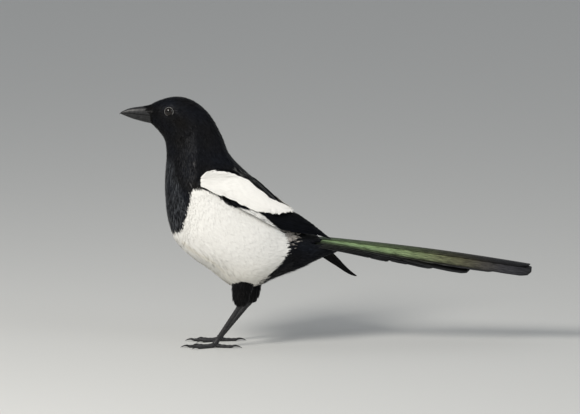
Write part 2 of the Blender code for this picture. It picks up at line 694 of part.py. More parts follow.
def build_toe(toe, side, word, joint):
    """One toe, with its claw as a piece of its own beyond it."""
    turn, length, thick, claw = TOES[toe]
    a = math.radians(turn)
    ahead = Vector((-math.cos(a), side * math.sin(a), 0.0))
    radius = thick / 2
    rows = []
    for share, z, swell in TOE_PROFILE:
        p = joint + ahead * (length * share)
        z *= 1.0 if share == 0 else radius / TOE_PROFILE_RADIUS
        rows.append((p.x, p.y, z, radius * swell))
    _, _, base_z, base_radius = rows[-1]
    start = joint + ahead * (length + SEAM)
    claw_rows = []
    for share, rise, radius_share in CLAW_PROFILE:
        p = start + ahead * (claw * share)
        z = base_z + rise * (base_z - CLAW_CLEARS) * (1.0 if rise < 0 else CLAW_ARCH)
        claw_rows.append((p.x, p.y, z, base_radius * CLAW_RADIUS * radius_share))
    tube(f"claw_{toe}_{word}", claw_rows, 6, "horn", start=ahead)
    return tube(f"{toe}_toe_{word}", rows, 8, "leg_skin", end=ahead)


def build_leg(side, word):
    """A feathered thigh, a bare scaly shank, a foot and its four claws."""
    (ankle_x, ankle_z), (foot_x, foot_z) = ANKLES[side], FOOT_JOINTS[side]
    build_thigh(side, word)
    ankle = Vector((ankle_x, side * STANCE, ankle_z - SEAM))
    joint = Vector((foot_x, side * STANCE, foot_z))
    down = (joint - ankle).normalized()
    build_shank(word, ankle, joint, down)
    rows = [(*(joint + down * run), radius) for run, radius in COLLAR]
    collar = tube(f"foot_{word}", rows, 8, "leg_skin", start=down, end=down)
    toes = [build_toe(toe, side, word, joint) for toe in TOES]
    combine(collar, toes, "UNION")
    flatten_sole(collar)


def flatten_sole(thing):
    """Cuts the foot level at the floor."""
    shaped = bmesh.new()
    shaped.from_mesh(thing.data)
    parts = shaped.verts[:] + shaped.edges[:] + shaped.faces[:]
    floor = {"plane_co": (0, 0, 0), "plane_no": (0, 0, -1), "clear_outer": True}
    cut = bmesh.ops.bisect_plane(shaped, geom=parts, **floor)
    edges = [e for e in cut["geom_cut"] if isinstance(e, bmesh.types.BMEdge)]
    bmesh.ops.contextual_create(shaped, geom=edges)
    bmesh.ops.triangulate(shaped, faces=shaped.faces)
    bmesh.ops.recalc_face_normals(shaped, faces=shaped.faces)
    shaped.to_mesh(thing.data)
    shaped.free()


clear_scene()
build_head()
body_piece("neck", NAPE, SHOULDERS, 8, "black_plumage")
body_piece("torso", SHOULDERS, RUMP, TORSO_RINGS, "white_plumage")
build_tail()
guide = swollen_body()
tree = tree_of(guide)
bpy.data.objects.remove(guide)
build_wing("wing_left", LEFT, LEFT_SHEET, LEFT_TIERS, tree)
build_wing("wing_right", RIGHT, RIGHT_SHEET, RIGHT_TIERS, tree)
for side, word in ((LEFT, "left"), (RIGHT, "right")):
    build_leg(side, word)
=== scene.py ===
"""The looks of a standing Eurasian magpie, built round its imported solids.

Lengths are in millimetres until a mesh is made. The bird faces -X and its left side -Y.
A place round the body is t, counted in ribs from the face, and a, the turn about its middle.
"""

import math

import bpy
import numpy as np
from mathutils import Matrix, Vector
from mathutils.bvhtree import BVHTree


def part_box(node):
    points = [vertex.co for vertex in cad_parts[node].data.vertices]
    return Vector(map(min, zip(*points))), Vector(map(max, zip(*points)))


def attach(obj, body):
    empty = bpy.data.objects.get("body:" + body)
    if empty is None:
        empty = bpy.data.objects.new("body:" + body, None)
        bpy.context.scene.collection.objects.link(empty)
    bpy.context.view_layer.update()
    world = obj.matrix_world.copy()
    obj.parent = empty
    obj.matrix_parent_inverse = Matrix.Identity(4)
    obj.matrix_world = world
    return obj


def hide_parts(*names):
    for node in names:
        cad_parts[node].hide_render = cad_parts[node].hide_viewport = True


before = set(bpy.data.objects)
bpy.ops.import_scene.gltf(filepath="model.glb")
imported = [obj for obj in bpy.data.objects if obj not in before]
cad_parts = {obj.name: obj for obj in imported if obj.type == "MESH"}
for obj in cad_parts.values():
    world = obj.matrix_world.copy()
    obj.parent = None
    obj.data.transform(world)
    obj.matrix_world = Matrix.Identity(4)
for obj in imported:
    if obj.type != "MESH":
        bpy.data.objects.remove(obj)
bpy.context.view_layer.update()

METRES = 0.001
TURN = 2 * math.pi
LEFT, RIGHT = -1, 1
WORDS = {LEFT: "left", RIGHT: "right"}

# The stage, in metres.
FLOOR = 6.0
CAMERA_AIM, CAMERA_AWAY, LAMPS_AIM = (-0.036, 0.0, 0.1394), 6.0, (-0.04, 0.0, 0.13)
LAMPS = (
    ("key", (-1.15, -1.30, 1.45), 0.7, 37.0, (1.0, 0.97, 0.92)),
    ("fill", (1.5, -1.2, 1.0), 1.2, 6.0, (0.9, 0.95, 1.0)),
)

# The body's ribs, as in the solids: back x, z, belly x, z, half width, wider back half.
RIBS = np.array((
    (-176.0, 242.4, -173.8, 222.6, 7.2, 0.00),
    (-166.0, 247.4, -168.0, 216.8, 13.2, 0.05),
    (-149.5, 250.9, -162.0, 208.4, 17.6, 0.10),
    (-132.5, 246.6, -159.8, 198.4, 18.8, 0.08),
    (-116.4, 233.0, -159.8, 187.0, 21.0, 0.04),
    (-104.8, 213.0, -161.0, 171.4, 27.5, 0.02),
    (-95.2, 191.0, -161.0, 151.0, 35.0, 0.00),
    (-74.5, 170.0, -157.2, 123.0, 41.5, -0.03),
    (-54.5, 151.5, -146.5, 100.2, 44.0, -0.08),
    (-40.0, 134.0, -117.0, 77.0, 43.0, -0.10),
    (-30.5, 123.0, -86.0, 57.8, 37.0, -0.08),
    (-22.0, 116.5, -44.0, 71.8, 27.0, -0.04),
    (-12.0, 111.0, -22.0, 80.2, 19.0, 0.00),
    (-1.0, 106.6, -6.0, 87.6, 14.5, 0.00),
    (9.0, 103.0, 6.0, 92.6, 10.5, 0.00),
    (14.0, 100.4, 13.0, 95.6, 5.0, 0.00),
))
RIB_FULLNESS = 2.15
LAST_RIB = len(RIBS) - 1

# The beds that the wings lie in: the flank's lip below each, the depth and how it fades.
FLANK_LIP = (
    (-150, 172), (-117, 161), (-92, 148), (-66, 138), (-46, 122), (-35, 104), (-34, 84), (-52, 66),
)
BED_DEPTH, BED_SLOPE, BED_FRONT, BED_FRONT_RUN = 3.6, 7.0, -131.0, 12.0
BED_SIDE, BED_SIDE_RUN, LIP_RISE = 12.0, 14.0, 3.0

# The wings' sheets from the shoulder back: x, the top's z and y, the lower edge's z and y.
ARM_SHEET = (
    (-132, 170, 29, 159, 35),
    (-114, 179, 25, 155, 38),
    (-91, 176, 18, 146, 40.5),
)
SHEETS = {
    LEFT: np.array((
        *ARM_SHEET,
        (-72, 166, 12, 137, 38.5),
        (-50, 148, 5, 123, 33.5),
        (-33, 137, 2.2, 116, 26),
        (-15, 126, 1.8, 110, 18),
        (8, 110.5, 1.8, 104, 12),
    )),
    RIGHT: np.array((
        *ARM_SHEET,
        (-72, 166, 12, 136, 38.5),
        (-50, 147.5, 7, 119, 34.5),
        (-33, 134, 9, 104, 32),
        (-12, 114, 16, 88, 31.5),
        (8, 92, 25, 75, 31.5),
        (32, 71, 29.5, 58, 31.5),
    )),
}
WING_BED, CLEAR_OF_BODY, SEAM = -3.6, 0.75, 0.3

# Long feathers: the half width from root to tip, and where a vane has its points across.
VANE_BASE = ((0.0, 0.30), (0.10, 0.62), (0.25, 0.90), (0.5, 1.0))
VANE_SHAPE = (*VANE_BASE, (0.78, 0.98), (0.90, 0.84), (0.96, 0.62), (1.0, 0.20))
FLIGHT_SHAPE = (*VANE_BASE, (0.72, 0.88), (0.88, 0.58), (0.96, 0.30), (1.0, 0.08))
TAIL_SHAPE = (
    (0.0, 0.40), (0.14, 0.80), (0.35, 1.0), (0.62, 1.0), (0.88, 1.0), (0.955, 0.94), (0.985, 0.76),
    (1.0, 0.34),
)
VANE_CURVE, VANE_NOTCHES, SHAFT_RISE, SHAFT_SHARE = 0.05, 3, 0.28, 0.05
ACROSS = (-1.0, -0.72, -0.40, -0.10, -0.035, 0.0, 0.035, 0.10, 0.40, 0.72, 1.0)

# A wing's tiers: count, first and last root, first and last tip, height, how late it bends.
# Roots and tips are x and the share across the sheet.
COVERTS = (11, (-106, 0.20), (-98, 0.96), (-62, 0.18), (-50, 0.92), 0.0, 1.0)
TIERS = {
    LEFT: {"flight": (13, (-78, 0.13), (-70, 0.93), (-26, 0.17), (6, 0.36), -2.3, 2.0), "covert": COVERTS},
    RIGHT: {"flight": (16, (-78, 0.13), (-70, 0.95), (-26, 0.17), (30, 0.62), -2.3, 1.4), "covert": COVERTS},
}
TIER_LOOKS = {"flight": (11.0, FLIGHT_SHAPE), "covert": (9.0, VANE_SHAPE)}
VANE_TILT, VANE_STEP = 0.15, 0.42
ARM_SPAN, COVERT_GAPS = (-133.0, -34.0), (1.9, 2.1)

# The tail, with one entry to each pair of feathers from the middle out.
TAIL_ROOT = (-13.0, 0.0, 110.0)
TAIL_DROP, TAIL_BEND = math.radians(5.4), math.radians(4.2)
TAIL_TWIST, TAIL_TWIST_RUN = math.radians(10.0), 140.0
TAIL_LENGTHS = (220.0, 187.0, 160.0, 124.0, 101.0, 79.0)
TAIL_WIDTHS = (25.0, 23.0, 21.0, 19.5, 18.0, 16.0)
TAIL_ROOT_SPREAD, TAIL_TIP_SPREAD = (1.2, 1.3), (5.5, 7.5, 11.5, 12.5, 13.0, 13.5)
TAIL_STEP, TAIL_SLOPE, TAIL_RIDGE, TAIL_DIP = (0.9, 0.5), (0.30, 0.18), 7.0, 4.0
TAIL_TIP_DROOP, TAIL_FORWARD, TAIL_DIP_RUN = (0.2, -0.6, 1.6, 0.2, -0.6, -0.6), 9.0, 20.0
LEFT_CENTRAL_LONGER = 3.0

EYE_LOOKS = Vector((-0.22, 0.97, 0.06)).normalized()
EYE_RADIUS, BARE_EYE, EYE_CORNERS = 5.2, 4.8, 48
LID_OUT, LID_WIDE, LID_THICK, LID_WRINKLES = 2.95, 4.44, (0.24, 0.22), 14

# The bill from the face to the tip: x, culmen, mouth, keel, half width above and below.
BILL = np.array((
    (-165.0, 241.0, 231.2, 222.4, 6.9, 6.1),
    (-174.1, 241.2, 232.7, 223.8, 6.3, 5.5),
    (-181.0, 241.1, 233.3, 225.2, 5.7, 4.9),
    (-187.0, 240.6, 233.9, 226.8, 4.9, 4.1),
    (-193.0, 239.7, 234.4, 228.5, 3.9, 3.2),
    (-198.0, 238.4, 234.7, 230.4, 2.9, 2.3),
    (-202.5, 236.5, 234.5, 232.2, 1.8, 1.2),
    (-205.0, 235.0, 234.2, 233.4, 0.9, 0.5),
))
HOOK_REACH, MOUTH_HEIGHT, BRISTLES, FRINGE = 1.15, 233.0, 420, 620

# The legs: x and z of their joints, then how thick each part is along its length.
HIPS = {LEFT: (-77.0, 84.0), RIGHT: (-68.5, 82.0)}
ANKLES = {LEFT: (-84.9, 42.4), RIGHT: (-75.4, 40.2)}
FOOT_JOINTS = {LEFT: (-111.0, 3.9), RIGHT: (-107.0, 3.9)}
STANCE, THIGH_BOW, ANKLE_RISE = 19.5, 2.4, 1.5
THIGH_WIDTHS = (
    (0.0, 13.0), (0.36, 11.6), (0.56, 10.0), (0.66, 9.6), (0.80, 8.6), (0.92, 6.4), (1.0, 3.8),
)
LAST_THIGH = len(THIGH_WIDTHS) - 1
TARSUS_RADIUS, SCUTES = 2.25, 11
SCUTE_PROFILE = ((0.0, 0.26), (0.7, 0.12), (0.95, 0.0))
HEEL_PROFILE = ((-3.0, 2.5), (-1.0, 3.0), (0.0, 3.1), (1.4, 2.2))
# Each toe's turn in degrees, length, thickness and claw; then share along, height and swell.
TOES = {
    "hind": (172.0, 17.0, 3.9, 10.0),
    "inner": (-26.0, 18.0, 3.3, 7.5),
    "middle": (2.0, 26.0, 3.7, 8.5),
    "outer": (30.0, 19.0, 3.3, 7.5),
}
TOE_PROFILE = (
    (0.0, 3.2, 1.15), (0.2, 1.7, 1.12), (0.4, 1.28, 0.96), (0.55, 1.22, 1.02), (0.72, 1.15, 0.84),
    (0.88, 1.2, 0.92), (1.0, 1.35, 0.70),
)
CLAW_PROFILE = (
    (0.0, 0.0, 1.0), (0.3, 0.55, 0.86), (0.6, 0.35, 0.6), (0.85, -0.35, 0.32), (1.0, -0.95, 0.08),
)

# The coat by rib: the feathers' gaps, lengths and lifts, and how deep it lies over the skin.
COAT_GAPS = (0, 0.6, 2.2, 4, 6, 8), (0.75, 0.95, 1.2, 1.5, 1.9, 2.2)
COAT_LENGTHS = (0, 0.6, 2.2, 4, 6, 8, 11, 13, 15), (2.6, 3.4, 5.2, 8.5, 11.5, 14.5, 14, 19, 22)
COAT_LIFTS = (0, 2, 5, 8, 13, 15), (0.15, 0.2, 0.3, 0.5, 0.5, 0.4)
COAT_DEPTHS = (0, 1.2, 3, 5, 12, 15), (0.6, 0.9, 1.3, 1.9, 1.9, 1.2)
COAT_END, COAT_TRIES, HEAD_END, NECK_END, CREASE_END = 14.4, 240000, 3.2, 6, 3.4
THIGH_GAP, THIGH_TRIES, THIGH_TOP = 1.5, 9000, 76
ROOT_CELL, PATH_ROWS, MOST_TRIANGLES = 2.0, 5, 190000
SKIN_RINGS, SKIN_CORNERS, THIGH_RINGS, THIGH_CORNERS, EYE_HOLLOW = 170, 96, 28, 32, 6.5

# One barb: its faces, its rows as share along and width, and its painted shade at the root and painted
# highlight towards the tip.
BLADE_POINTS = 7
BLADE_FACES = np.array(((0, 3, 1), (0, 2, 3), (2, 5, 3), (2, 4, 5), (4, 6, 5)))
BLADE_ROWS = ((0.0, 0.75), (0.35, 1.15), (0.72, 0.95), (1.0, 0.0))
BLADE_SHADE_AND_HIGHLIGHT = np.array((0.5, 0.5, 0.8, 0.8, 1.15, 1.15, 1.5))[:, None]

# The skin's map: the trunk fills most of it, with a thigh in each half of the strip beside it.
PATCH, MAP_EDGE, TRUNK_LONG, TRUNK_ROUND = 0.003, 0.02, 0.78, 0.96
THIGH_START, THIGH_LONG, THIGH_ROUND = 0.84, 0.14, 0.44

# Where the markings change, in the side view seen a little from above: across, down.
VIEW_CENTRE, VIEW_RISE = (326.0, 345.0), math.radians(8.0)
WHITE_FLANK = (
    (164, 233), (176, 233.8), (181, 232), (183.4, 228), (184.8, 222.5), (187, 219), (189.6, 205),
    (192, 192), (196.8, 189), (209, 191.2), (216.5, 195), (225, 202.6), (234, 207.2), (241.5, 208.4),
    (251, 209.8), (260, 212.8), (268.5, 219), (280, 229.7), (286, 236), (288.9, 243), (289.6, 248),
    (288.7, 253.3), (284, 257), (277, 267.7), (265.6, 279), (259, 286), (247, 296), (228, 300),
    (196, 290), (160, 262),
)
WHITE_SCAPULARS = (
    (197, 187), (198.3, 182), (199.7, 177), (203, 174.4), (207.4, 171.7), (212.7, 170.8), (228, 173),
    (241.5, 178.3), (254, 185), (262.7, 195.6), (277, 200), (293, 208), (294, 213), (277, 214.3),
    (259, 212.2), (245.4, 205.0), (232, 198.4), (216.5, 192.9), (201, 187.4),
)
GREY_RUMP = (
    (281, 229), (286, 230), (296, 232.5), (299, 236), (296, 240.5), (291, 243), (288, 242.5), (284, 237),
)
# The front of the bib, speckled with painted blue glints, and the grey flecks of the mantle.
BIB_GLINT_AREA = ((163, 160), (172, 160), (182, 196), (188, 212), (182, 234), (172, 234), (163, 205))
MANTLE = (
    (234, 165), (246, 173), (262, 186), (277, 198.5), (276, 201), (262, 193), (250, 181), (236, 172),
)
# The fold over the lower breast, along which the white takes painted shade, the loose vent and the crease
# behind the ear coverts.
BREAST_FOLD = ((183, 243), (190, 249), (200, 255), (213, 262), (224, 272), (232, 281))
VENT = (
    (252, 288), (268, 277), (280, 265), (288, 254), (290, 244), (306, 246), (310, 258), (304, 269),
    (280, 280), (262, 290),
)
EAR_CREASE = ((196, 124), (193, 129.3), (189.5, 133), (185.6, 135.6), (181, 137))
# Where the tail shows between the coverts.
TAIL_WINDOW = (
    (303, 244), (311, 240.8), (320, 240), (345, 240.5), (345, 252), (330, 249.8), (318, 247.4),
    (306, 245.2),
)

WHITE = np.array((0.84, 0.825, 0.785))
# The white in painted shade: a dull cream.
WHITE_IN_SHADE = np.array((0.74, 0.70, 0.60))
BLACK = np.array((0.0050, 0.0048, 0.0050))
BLUE_BLACK = np.array((0.0055, 0.0062, 0.0085))
RUMP_GREY = np.array((0.36, 0.33, 0.30))
MANTLE_GREY = np.array((0.11, 0.11, 0.105))
BIB_GLINT = np.array((0.036, 0.039, 0.044))
IRIS = np.array((0.0065, 0.0040, 0.0028))
PUPIL = np.array((0.0015, 0.0015, 0.0015))
VANE_BELOW = (0.007, 0.007, 0.0075)
WING_WEBS = np.array(((0.0018, 0.0018, 0.002), (0.0018, 0.0022, 0.0040)))
WING_EDGE = np.array((0.0050, 0.0052, 0.0060))
# The far wing's white inner webs in painted shade, a dull olive, and the shafts.
WING_WEBS_IN_SHADE, WING_SHAFT = (0.17, 0.165, 0.11), (0.008, 0.007, 0.006)
TAIL_INNER_WEB = np.array((0.006, 0.006, 0.0065))
TAIL_EDGE = np.array((0.075, 0.078, 0.080))
TAIL_SHAFT = np.array((0.006, 0.005, 0.005))
# The tail's sheen: millimetres back from a feather's tip, then its colour there.
SHEEN = np.array((
    (0, 0.022, 0.022, 0.023), (10, 0.040, 0.040, 0.044), (28, 0.056, 0.055, 0.060),
    (48, 0.085, 0.078, 0.066), (66, 0.125, 0.120, 0.072), (90, 0.190, 0.205, 0.110),
    (120, 0.270, 0.350, 0.170), (165, 0.310, 0.440, 0.210), (225, 0.330, 0.480, 0.240),
))


def catmull(rows, t):
    """Points at t on a smooth curve through the rows, where t counts rows."""
    last = len(rows) - 1
    i = np.clip(np.floor(t).astype(int), 0, last - 1)
    f = (t - i)[:, None]
    a, b, c, d = (rows[np.clip(i + k, 0, last)] for k in (-1, 0, 1, 2))
    bend, swing = 2 * a - 5 * b + 4 * c - d, 3 * b - a - 3 * c + d
    return 0.5 * (2 * b + (c - a) * f + bend * f**2 + swing * f**3)


def ease(value):
    value = np.clip(value, 0.0, 1.0)
    return value * value * (3 - 2 * value)


def unit(rows):
    return rows / np.maximum(np.linalg.norm(rows, axis=-1, keepdims=True), 1e-9)


def turns_round(count):
    """Turns evenly spaced all the way round."""
    return np.linspace(0, TURN, count + 1)[:-1]


def share_of_turn(a):
    return np.mod(a, TURN) / TURN


def edge_distance(line, points, closed=False):
    """The distance from each point to the line, and on which side of it each one lies."""
    line = np.array(line, float)
    ends = np.roll(line, -1, axis=0) if closed else line[1:]
    starts = line if closed else line[:-1]
    best = np.full(len(points), 1e9)
    sign = np.ones(len(points))
    for a, b in zip(starts, ends):
        run = b - a
        share = np.clip(((points - a) @ run) / (run @ run), 0.0, 1.0)
        away = np.linalg.norm(points - a - share[:, None] * run, axis=1)
        side = run[0] * (points[:, 1] - a[1]) - run[1] * (points[:, 0] - a[0])
        nearer = away < best
        best = np.where(nearer, away, best)
        sign = np.where(nearer, np.sign(side), sign)
    return best, sign


def inside(line, points):
    """How far each point lies inside the closed line; outside it is negative."""
    line = np.array(line, float)
    within = np.zeros(len(points), bool)
    for (x0, y0), (x1, y1) in zip(line, np.roll(line, -1, axis=0)):
        spans = (y0 > points[:, 1]) != (y1 > points[:, 1])
        meets = x0 + (points[:, 1] - y0) * (x1 - x0) / (y1 - y0 if y1 != y0 else 1.0)
        within ^= spans & (points[:, 0] < meets)
    away, _ = edge_distance(line, points, closed=True)
    return np.where(within, away, -away)


def bed(x, y, z, lip_rise):
    """How deep the body is sunk under the wings."""
    away, sign = edge_distance(FLANK_LIP, np.stack((x, z - lip_rise), axis=1))
    above = ease(away * sign / BED_SLOPE + 0.5)
    behind, beside = ease((x - BED_FRONT) / BED_FRONT_RUN), ease((np.abs(y) - BED_SIDE) / BED_SIDE_RUN)
    return BED_DEPTH * above * behind * beside


def body_surface(t, a, grow=0.0, lip_rise=LIP_RISE):
    """The body's outside at place t along it and turn a round it."""
    rib = catmull(RIBS, np.clip(t, 0.0, LAST_RIB))
    back, belly, half_width, skew = rib[:, 0:2], rib[:, 2:4], rib[:, 4], rib[:, 5]
    middle, reach = (back + belly) / 2, (back - belly) / 2
    length = np.linalg.norm(reach, axis=1)
    up = reach / length[:, None]
    c, s = np.cos(a), np.sin(a)
    along = np.sign(c) * np.abs(c) ** (2 / RIB_FULLNESS)
    across = np.sign(s) * np.abs(s) ** (2 / RIB_FULLNESS)
    x, z = (middle + up * ((length + grow) * along)[:, None]).T
    y = (half_width * (1 + skew * along) + grow) * across
    y = y - np.sign(y) * bed(x, y, z, lip_rise)
    return np.stack((x, y, z), axis=1)


def thigh_surface(side):
    """A function like body_surface, for one feathered thigh."""
    hip, ankle = np.array(HIPS[side]), np.array(ANKLES[side])
    rows = []
    for share, radius in THIGH_WIDTHS:
        x, z = hip + (ankle - hip) * share
        rows.append((x - THIGH_BOW * math.sin(math.pi * share), side * STANCE, z, radius))
    rows = np.array(rows)

    def surface(t, a, grow=0.0):
        row = catmull(rows, np.clip(t, 0.0, len(rows) - 1))
        radius = row[:, 3] + grow
        return row[:, :3] + np.stack((radius * np.cos(a), radius * np.sin(a), np.zeros(len(t))), axis=1)

    return surface


def lie(surface, t, a):
    """The outward normal, the direction the feathers lie in and how far one step of t goes."""
    e = 0.02
    along = (surface(t + e, a) - surface(t - e, a)) / (2 * e)
    round_ = surface(t, a + e) - surface(t, a - e)
    normal = unit(np.cross(round_, along))
    centre = (surface(t, a) + surface(t, a + math.pi)) / 2
    flip = np.sign(np.sum(normal * (surface(t, a) - centre), axis=1))
    return normal * flip[:, None], unit(along), np.linalg.norm(along, axis=1)


def in_view(points):
    """Each point's place in the side view in which the markings are given."""
    rise = points[:, 2] * math.cos(VIEW_RISE) - np.abs(points[:, 1]) * math.sin(VIEW_RISE)
    return np.stack((VIEW_CENTRE[0] + points[:, 0], VIEW_CENTRE[1] - rise), axis=1)


def inside_view(line, points):
    """How far each point lies inside a marking's line in the side view."""
    return inside(line, in_view(points))


def speckle(points, scale, seed):
    """Smooth random values from -1 to 1 that vary over about the scale."""
    rng = np.random.default_rng(seed)
    total = np.zeros(len(points))
    for _ in range(5):
        way = rng.normal(size=3)
        way = way / np.linalg.norm(way) * rng.uniform(0.6, 1.6) / scale
        total += np.sin(points @ way * math.pi + rng.uniform(0, 7))
    return total / 2.6


def markings(points, stray):
    """The plumage's colour, roughness and whiteness at each point, from its place on the bird.

    stray is each barb's own chance value, which frays the edges of the markings.
    """
    at = in_view(points)
    wobble = 0.5 * speckle(points, 7.0, 5) + 0.75 * stray
    white = ease((inside(WHITE_FLANK, at) + wobble) / 1.2 + 0.5)
    grey = ease((inside(GREY_RUMP, at) + 3.5 * stray) / 2.0 + 0.5) * (1 - white)
    blue = 0.5 + 0.5 * speckle(points, 16.0, 9)
    base = BLACK + (BLUE_BLACK - BLACK) * blue[:, None]
    # Painted highlight: barbs on the bib's front are lightened towards a blue-grey, as glints off their
    # tips.
    bib_glint = ease(inside(BIB_GLINT_AREA, at) / 6.0 + 0.5)
    base = base + (BIB_GLINT - base) * (bib_glint * np.clip(0.45 + 0.45 * stray, 0, 1))[:, None]
    mottled = ease(inside(MANTLE, at) / 1.5 + 0.5) * ease(1.5 * stray - 0.6)
    base = base + (MANTLE_GREY - base) * mottled[:, None]
    # Painted shade: the white darkens towards a shaded cream along the breast's fold and towards the bottom
    # of the belly.
    breast_fold_shade = 0.6 * ease(1.0 - edge_distance(BREAST_FOLD, at)[0] / 3.0)
    below = 0.55 * ease((at[:, 1] - 250) / 45)
    pale = WHITE + (WHITE_IN_SHADE - WHITE) * np.maximum(breast_fold_shade, below)[:, None]
    colour = base * (1 - white - grey)[:, None] + pale * white[:, None] + RUMP_GREY * grey[:, None]
    glossy = (0.35 + 0.65 * bib_glint) * ease(1.4 * stray - 1.9 + 1.8 * bib_glint)
    rough = 0.45 - 0.14 * glossy + 0.3 * np.maximum(white, grey)
    return colour, rough, white


def plain_black(points, stray):
    """The same as markings, for feathers that are black wherever they lie."""
    rough = 0.45 - 0.10 * ease(1.6 * stray - 1.6)
    return np.tile(BLACK, (len(points), 1)), rough, np.zeros(len(points))


def start_material(name):
    """A new material with its node tree and its shader."""
    made = bpy.data.materials.new(name)
    made.use_nodes = True
    return made, made.node_tree, made.node_tree.nodes["Principled BSDF"]


def feed(tree, node, inputs):
    """Give the node's inputs a value each, or a link from a socket or a node's first output."""
    for key, value in inputs.items():
        if isinstance(value, bpy.types.Node):
            value = value.outputs[0]
        if isinstance(value, bpy.types.NodeSocket):
            tree.links.new(value, node.inputs[key])
        else:
            node.inputs[key].default_value = value


def add_node(tree, kind, inputs, **settings):
    """A new shader node with its settings, fed by the inputs."""
    node = tree.nodes.new("ShaderNode" + kind)
    for key, value in settings.items():
        setattr(node, key, value)
    feed(tree, node, inputs)
    return node


def plumage_material(name):
    """Feathers coloured by their own attribute, with fine barbs as bump."""
    made, tree, shader = start_material(name)
    tint = add_node(tree, "Attribute", {}, attribute_name="tint").outputs
    gloss = add_node(tree, "MapRange", {
        "Value": tint["Alpha"], "From Min": 0.28, "From Max": 0.45, "To Min": 0.30, "To Max": 0.07})
    place = add_node(tree, "TexCoord", {}).outputs["Object"]
    barbs = add_node(tree, "TexNoise", {"Vector": place, "Scale": 900.0, "Detail": 3.0})
    bump = add_node(tree, "Bump", {"Height": barbs, "Strength": 0.25, "Distance": 0.0003})
    feed(tree, shader, {
        "Base Color": tint["Color"], "Roughness": tint["Alpha"], "Specular IOR Level": gloss,
        "Normal": bump})
    return made


def vane_material(name, metallic, specular):
    """Long feathers: streaked, with barbs slanting from the shaft, on the vane's own map."""
    made, tree, shader = start_material(name)
    tint = add_node(tree, "Attribute", {}, attribute_name="tint")
    lay = add_node(tree, "Attribute", {}, attribute_name="lay").outputs["Vector"]
    drawn_out = add_node(tree, "VectorMath", {0: lay, 1: (0.09, 0.9, 1.0)}, operation="MULTIPLY")
    streaks = add_node(tree, "TexNoise", {
        "Vector": drawn_out, "Scale": 1.3, "Detail": 5.0, "Roughness": 0.65})
    strength = add_node(tree, "MapRange", {
        "Value": streaks, "From Min": 0.36, "From Max": 0.64, "To Min": 0.20, "To Max": 1.55})
    streaked = add_node(tree, "VectorMath", {0: tint, "Scale": strength}, operation="SCALE")
    parts = add_node(tree, "SeparateXYZ", {"Vector": lay}).outputs
    off_shaft = add_node(tree, "Math", {0: parts["Y"]}, operation="ABSOLUTE")
    slant = add_node(tree, "Math", {0: off_shaft, 1: -1.6, 2: parts["X"]}, operation="MULTIPLY_ADD")
    ripple = add_node(tree, "Math", {0: slant, 1: 9.0}, operation="MULTIPLY")
    barbs = add_node(tree, "Math", {0: ripple}, operation="SINE")
    bump = add_node(tree, "Bump", {"Height": barbs, "Strength": 0.35, "Distance": 0.0002})
    wear = add_node(tree, "TexNoise", {"Vector": lay, "Scale": 0.35, "Detail": 4.0})
    rough = add_node(tree, "MapRange", {"Value": wear, "To Min": 0.26, "To Max": 0.5})
    feed(tree, shader, {
        "Base Color": streaked, "Metallic": metallic, "Specular IOR Level": specular,
        "Roughness": rough, "Normal": bump})
    return made


def hard_material(name, dark, light, roughness, scale, bumps):
    """Horn or scaly skin, mottled between two colours."""
    made, tree, shader = start_material(name)
    place = add_node(tree, "TexCoord", {}).outputs["Object"]
    noise = add_node(tree, "TexNoise", {"Vector": place, "Scale": scale, "Detail": 5.0})
    mottled = add_node(tree, "ValToRGB", {"Fac": noise})
    for stop, at, colour in zip(mottled.color_ramp.elements, (0.35, 0.72), (dark, light)):
        stop.position = at
        stop.color = (*colour, 1.0)
    rough = add_node(tree, "MapRange", {
        "Value": noise, "To Min": roughness - 0.08, "To Max": roughness + 0.12})
    bump = add_node(tree, "Bump", {"Height": noise, "Strength": bumps, "Distance": 0.0003})
    feed(tree, shader, {
        "Base Color": mottled, "Roughness": rough, "Specular IOR Level": 0.35, "Normal": bump})
    return made


def mesh_piece(name, points, faces, material, slot, replaced=(), uvs=None, **layers):
    """A piece of the bird from points in millimetres and faces of equal size.

    layers are its custom_normal, tint and lay, with one row to each point.
    """
    points, faces = np.asarray(points, np.float32) * METRES, np.asarray(faces, np.int32)
    mesh = bpy.data.meshes.new(name)
    mesh.from_pydata(points, [], faces, shade_flat=False)
    for key, rows in layers.items():
        if key == "tint":
            layer, field = mesh.color_attributes.new(key, "FLOAT_COLOR", "POINT"), "color"
        else:
            layer, field = mesh.attributes.new(key, "FLOAT_VECTOR", "POINT"), "vector"
        layer.data.foreach_set(field, np.asarray(rows, np.float32).reshape(-1))
    if uvs is not None:
        uvs = np.asarray(uvs, np.float32)
        layer = mesh.uv_layers.new(name="OFBake")
        layer.data.foreach_set("uv", (uvs if uvs.ndim == 3 else uvs[faces]).reshape(-1))
    mesh.materials.append(material)
    made = bpy.data.objects.new(name, mesh)
    bpy.context.scene.collection.objects.link(made)
    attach(made, "root")
    if replaced:
        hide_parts(*replaced)


def tube_grid(rings):
    """Faces over equal rings of points, with a fan of quads that closes each end."""
    count = len(rings[0])
    points = np.concatenate([np.asarray(ring, float) for ring in rings])
    faces = []
    for start in range(0, len(points) - count, count):
        for k in range(count):
            a, b = start + k, start + (k + 1) % count
            faces.append((a, b, b + count, a + count))
    for start in (0, (len(rings) - 1) * count):
        middle = len(points)
        points = np.vstack((points, points[start : start + count].mean(axis=0)))
        cap = [(start + k, start + (k + 1) % count, start + (k + 2) % count, middle)
               for k in range(0, count, 2)]
        faces += [face[::-1] for face in cap] if start == 0 else cap
    a, b, c, d = (points[np.array(faces)[:, k]] for k in range(4))
    volume = np.sum(a * np.cross(b, c)) + np.sum(a * np.cross(c, d))
    return points, faces if volume > 0 else [face[::-1] for face in faces]


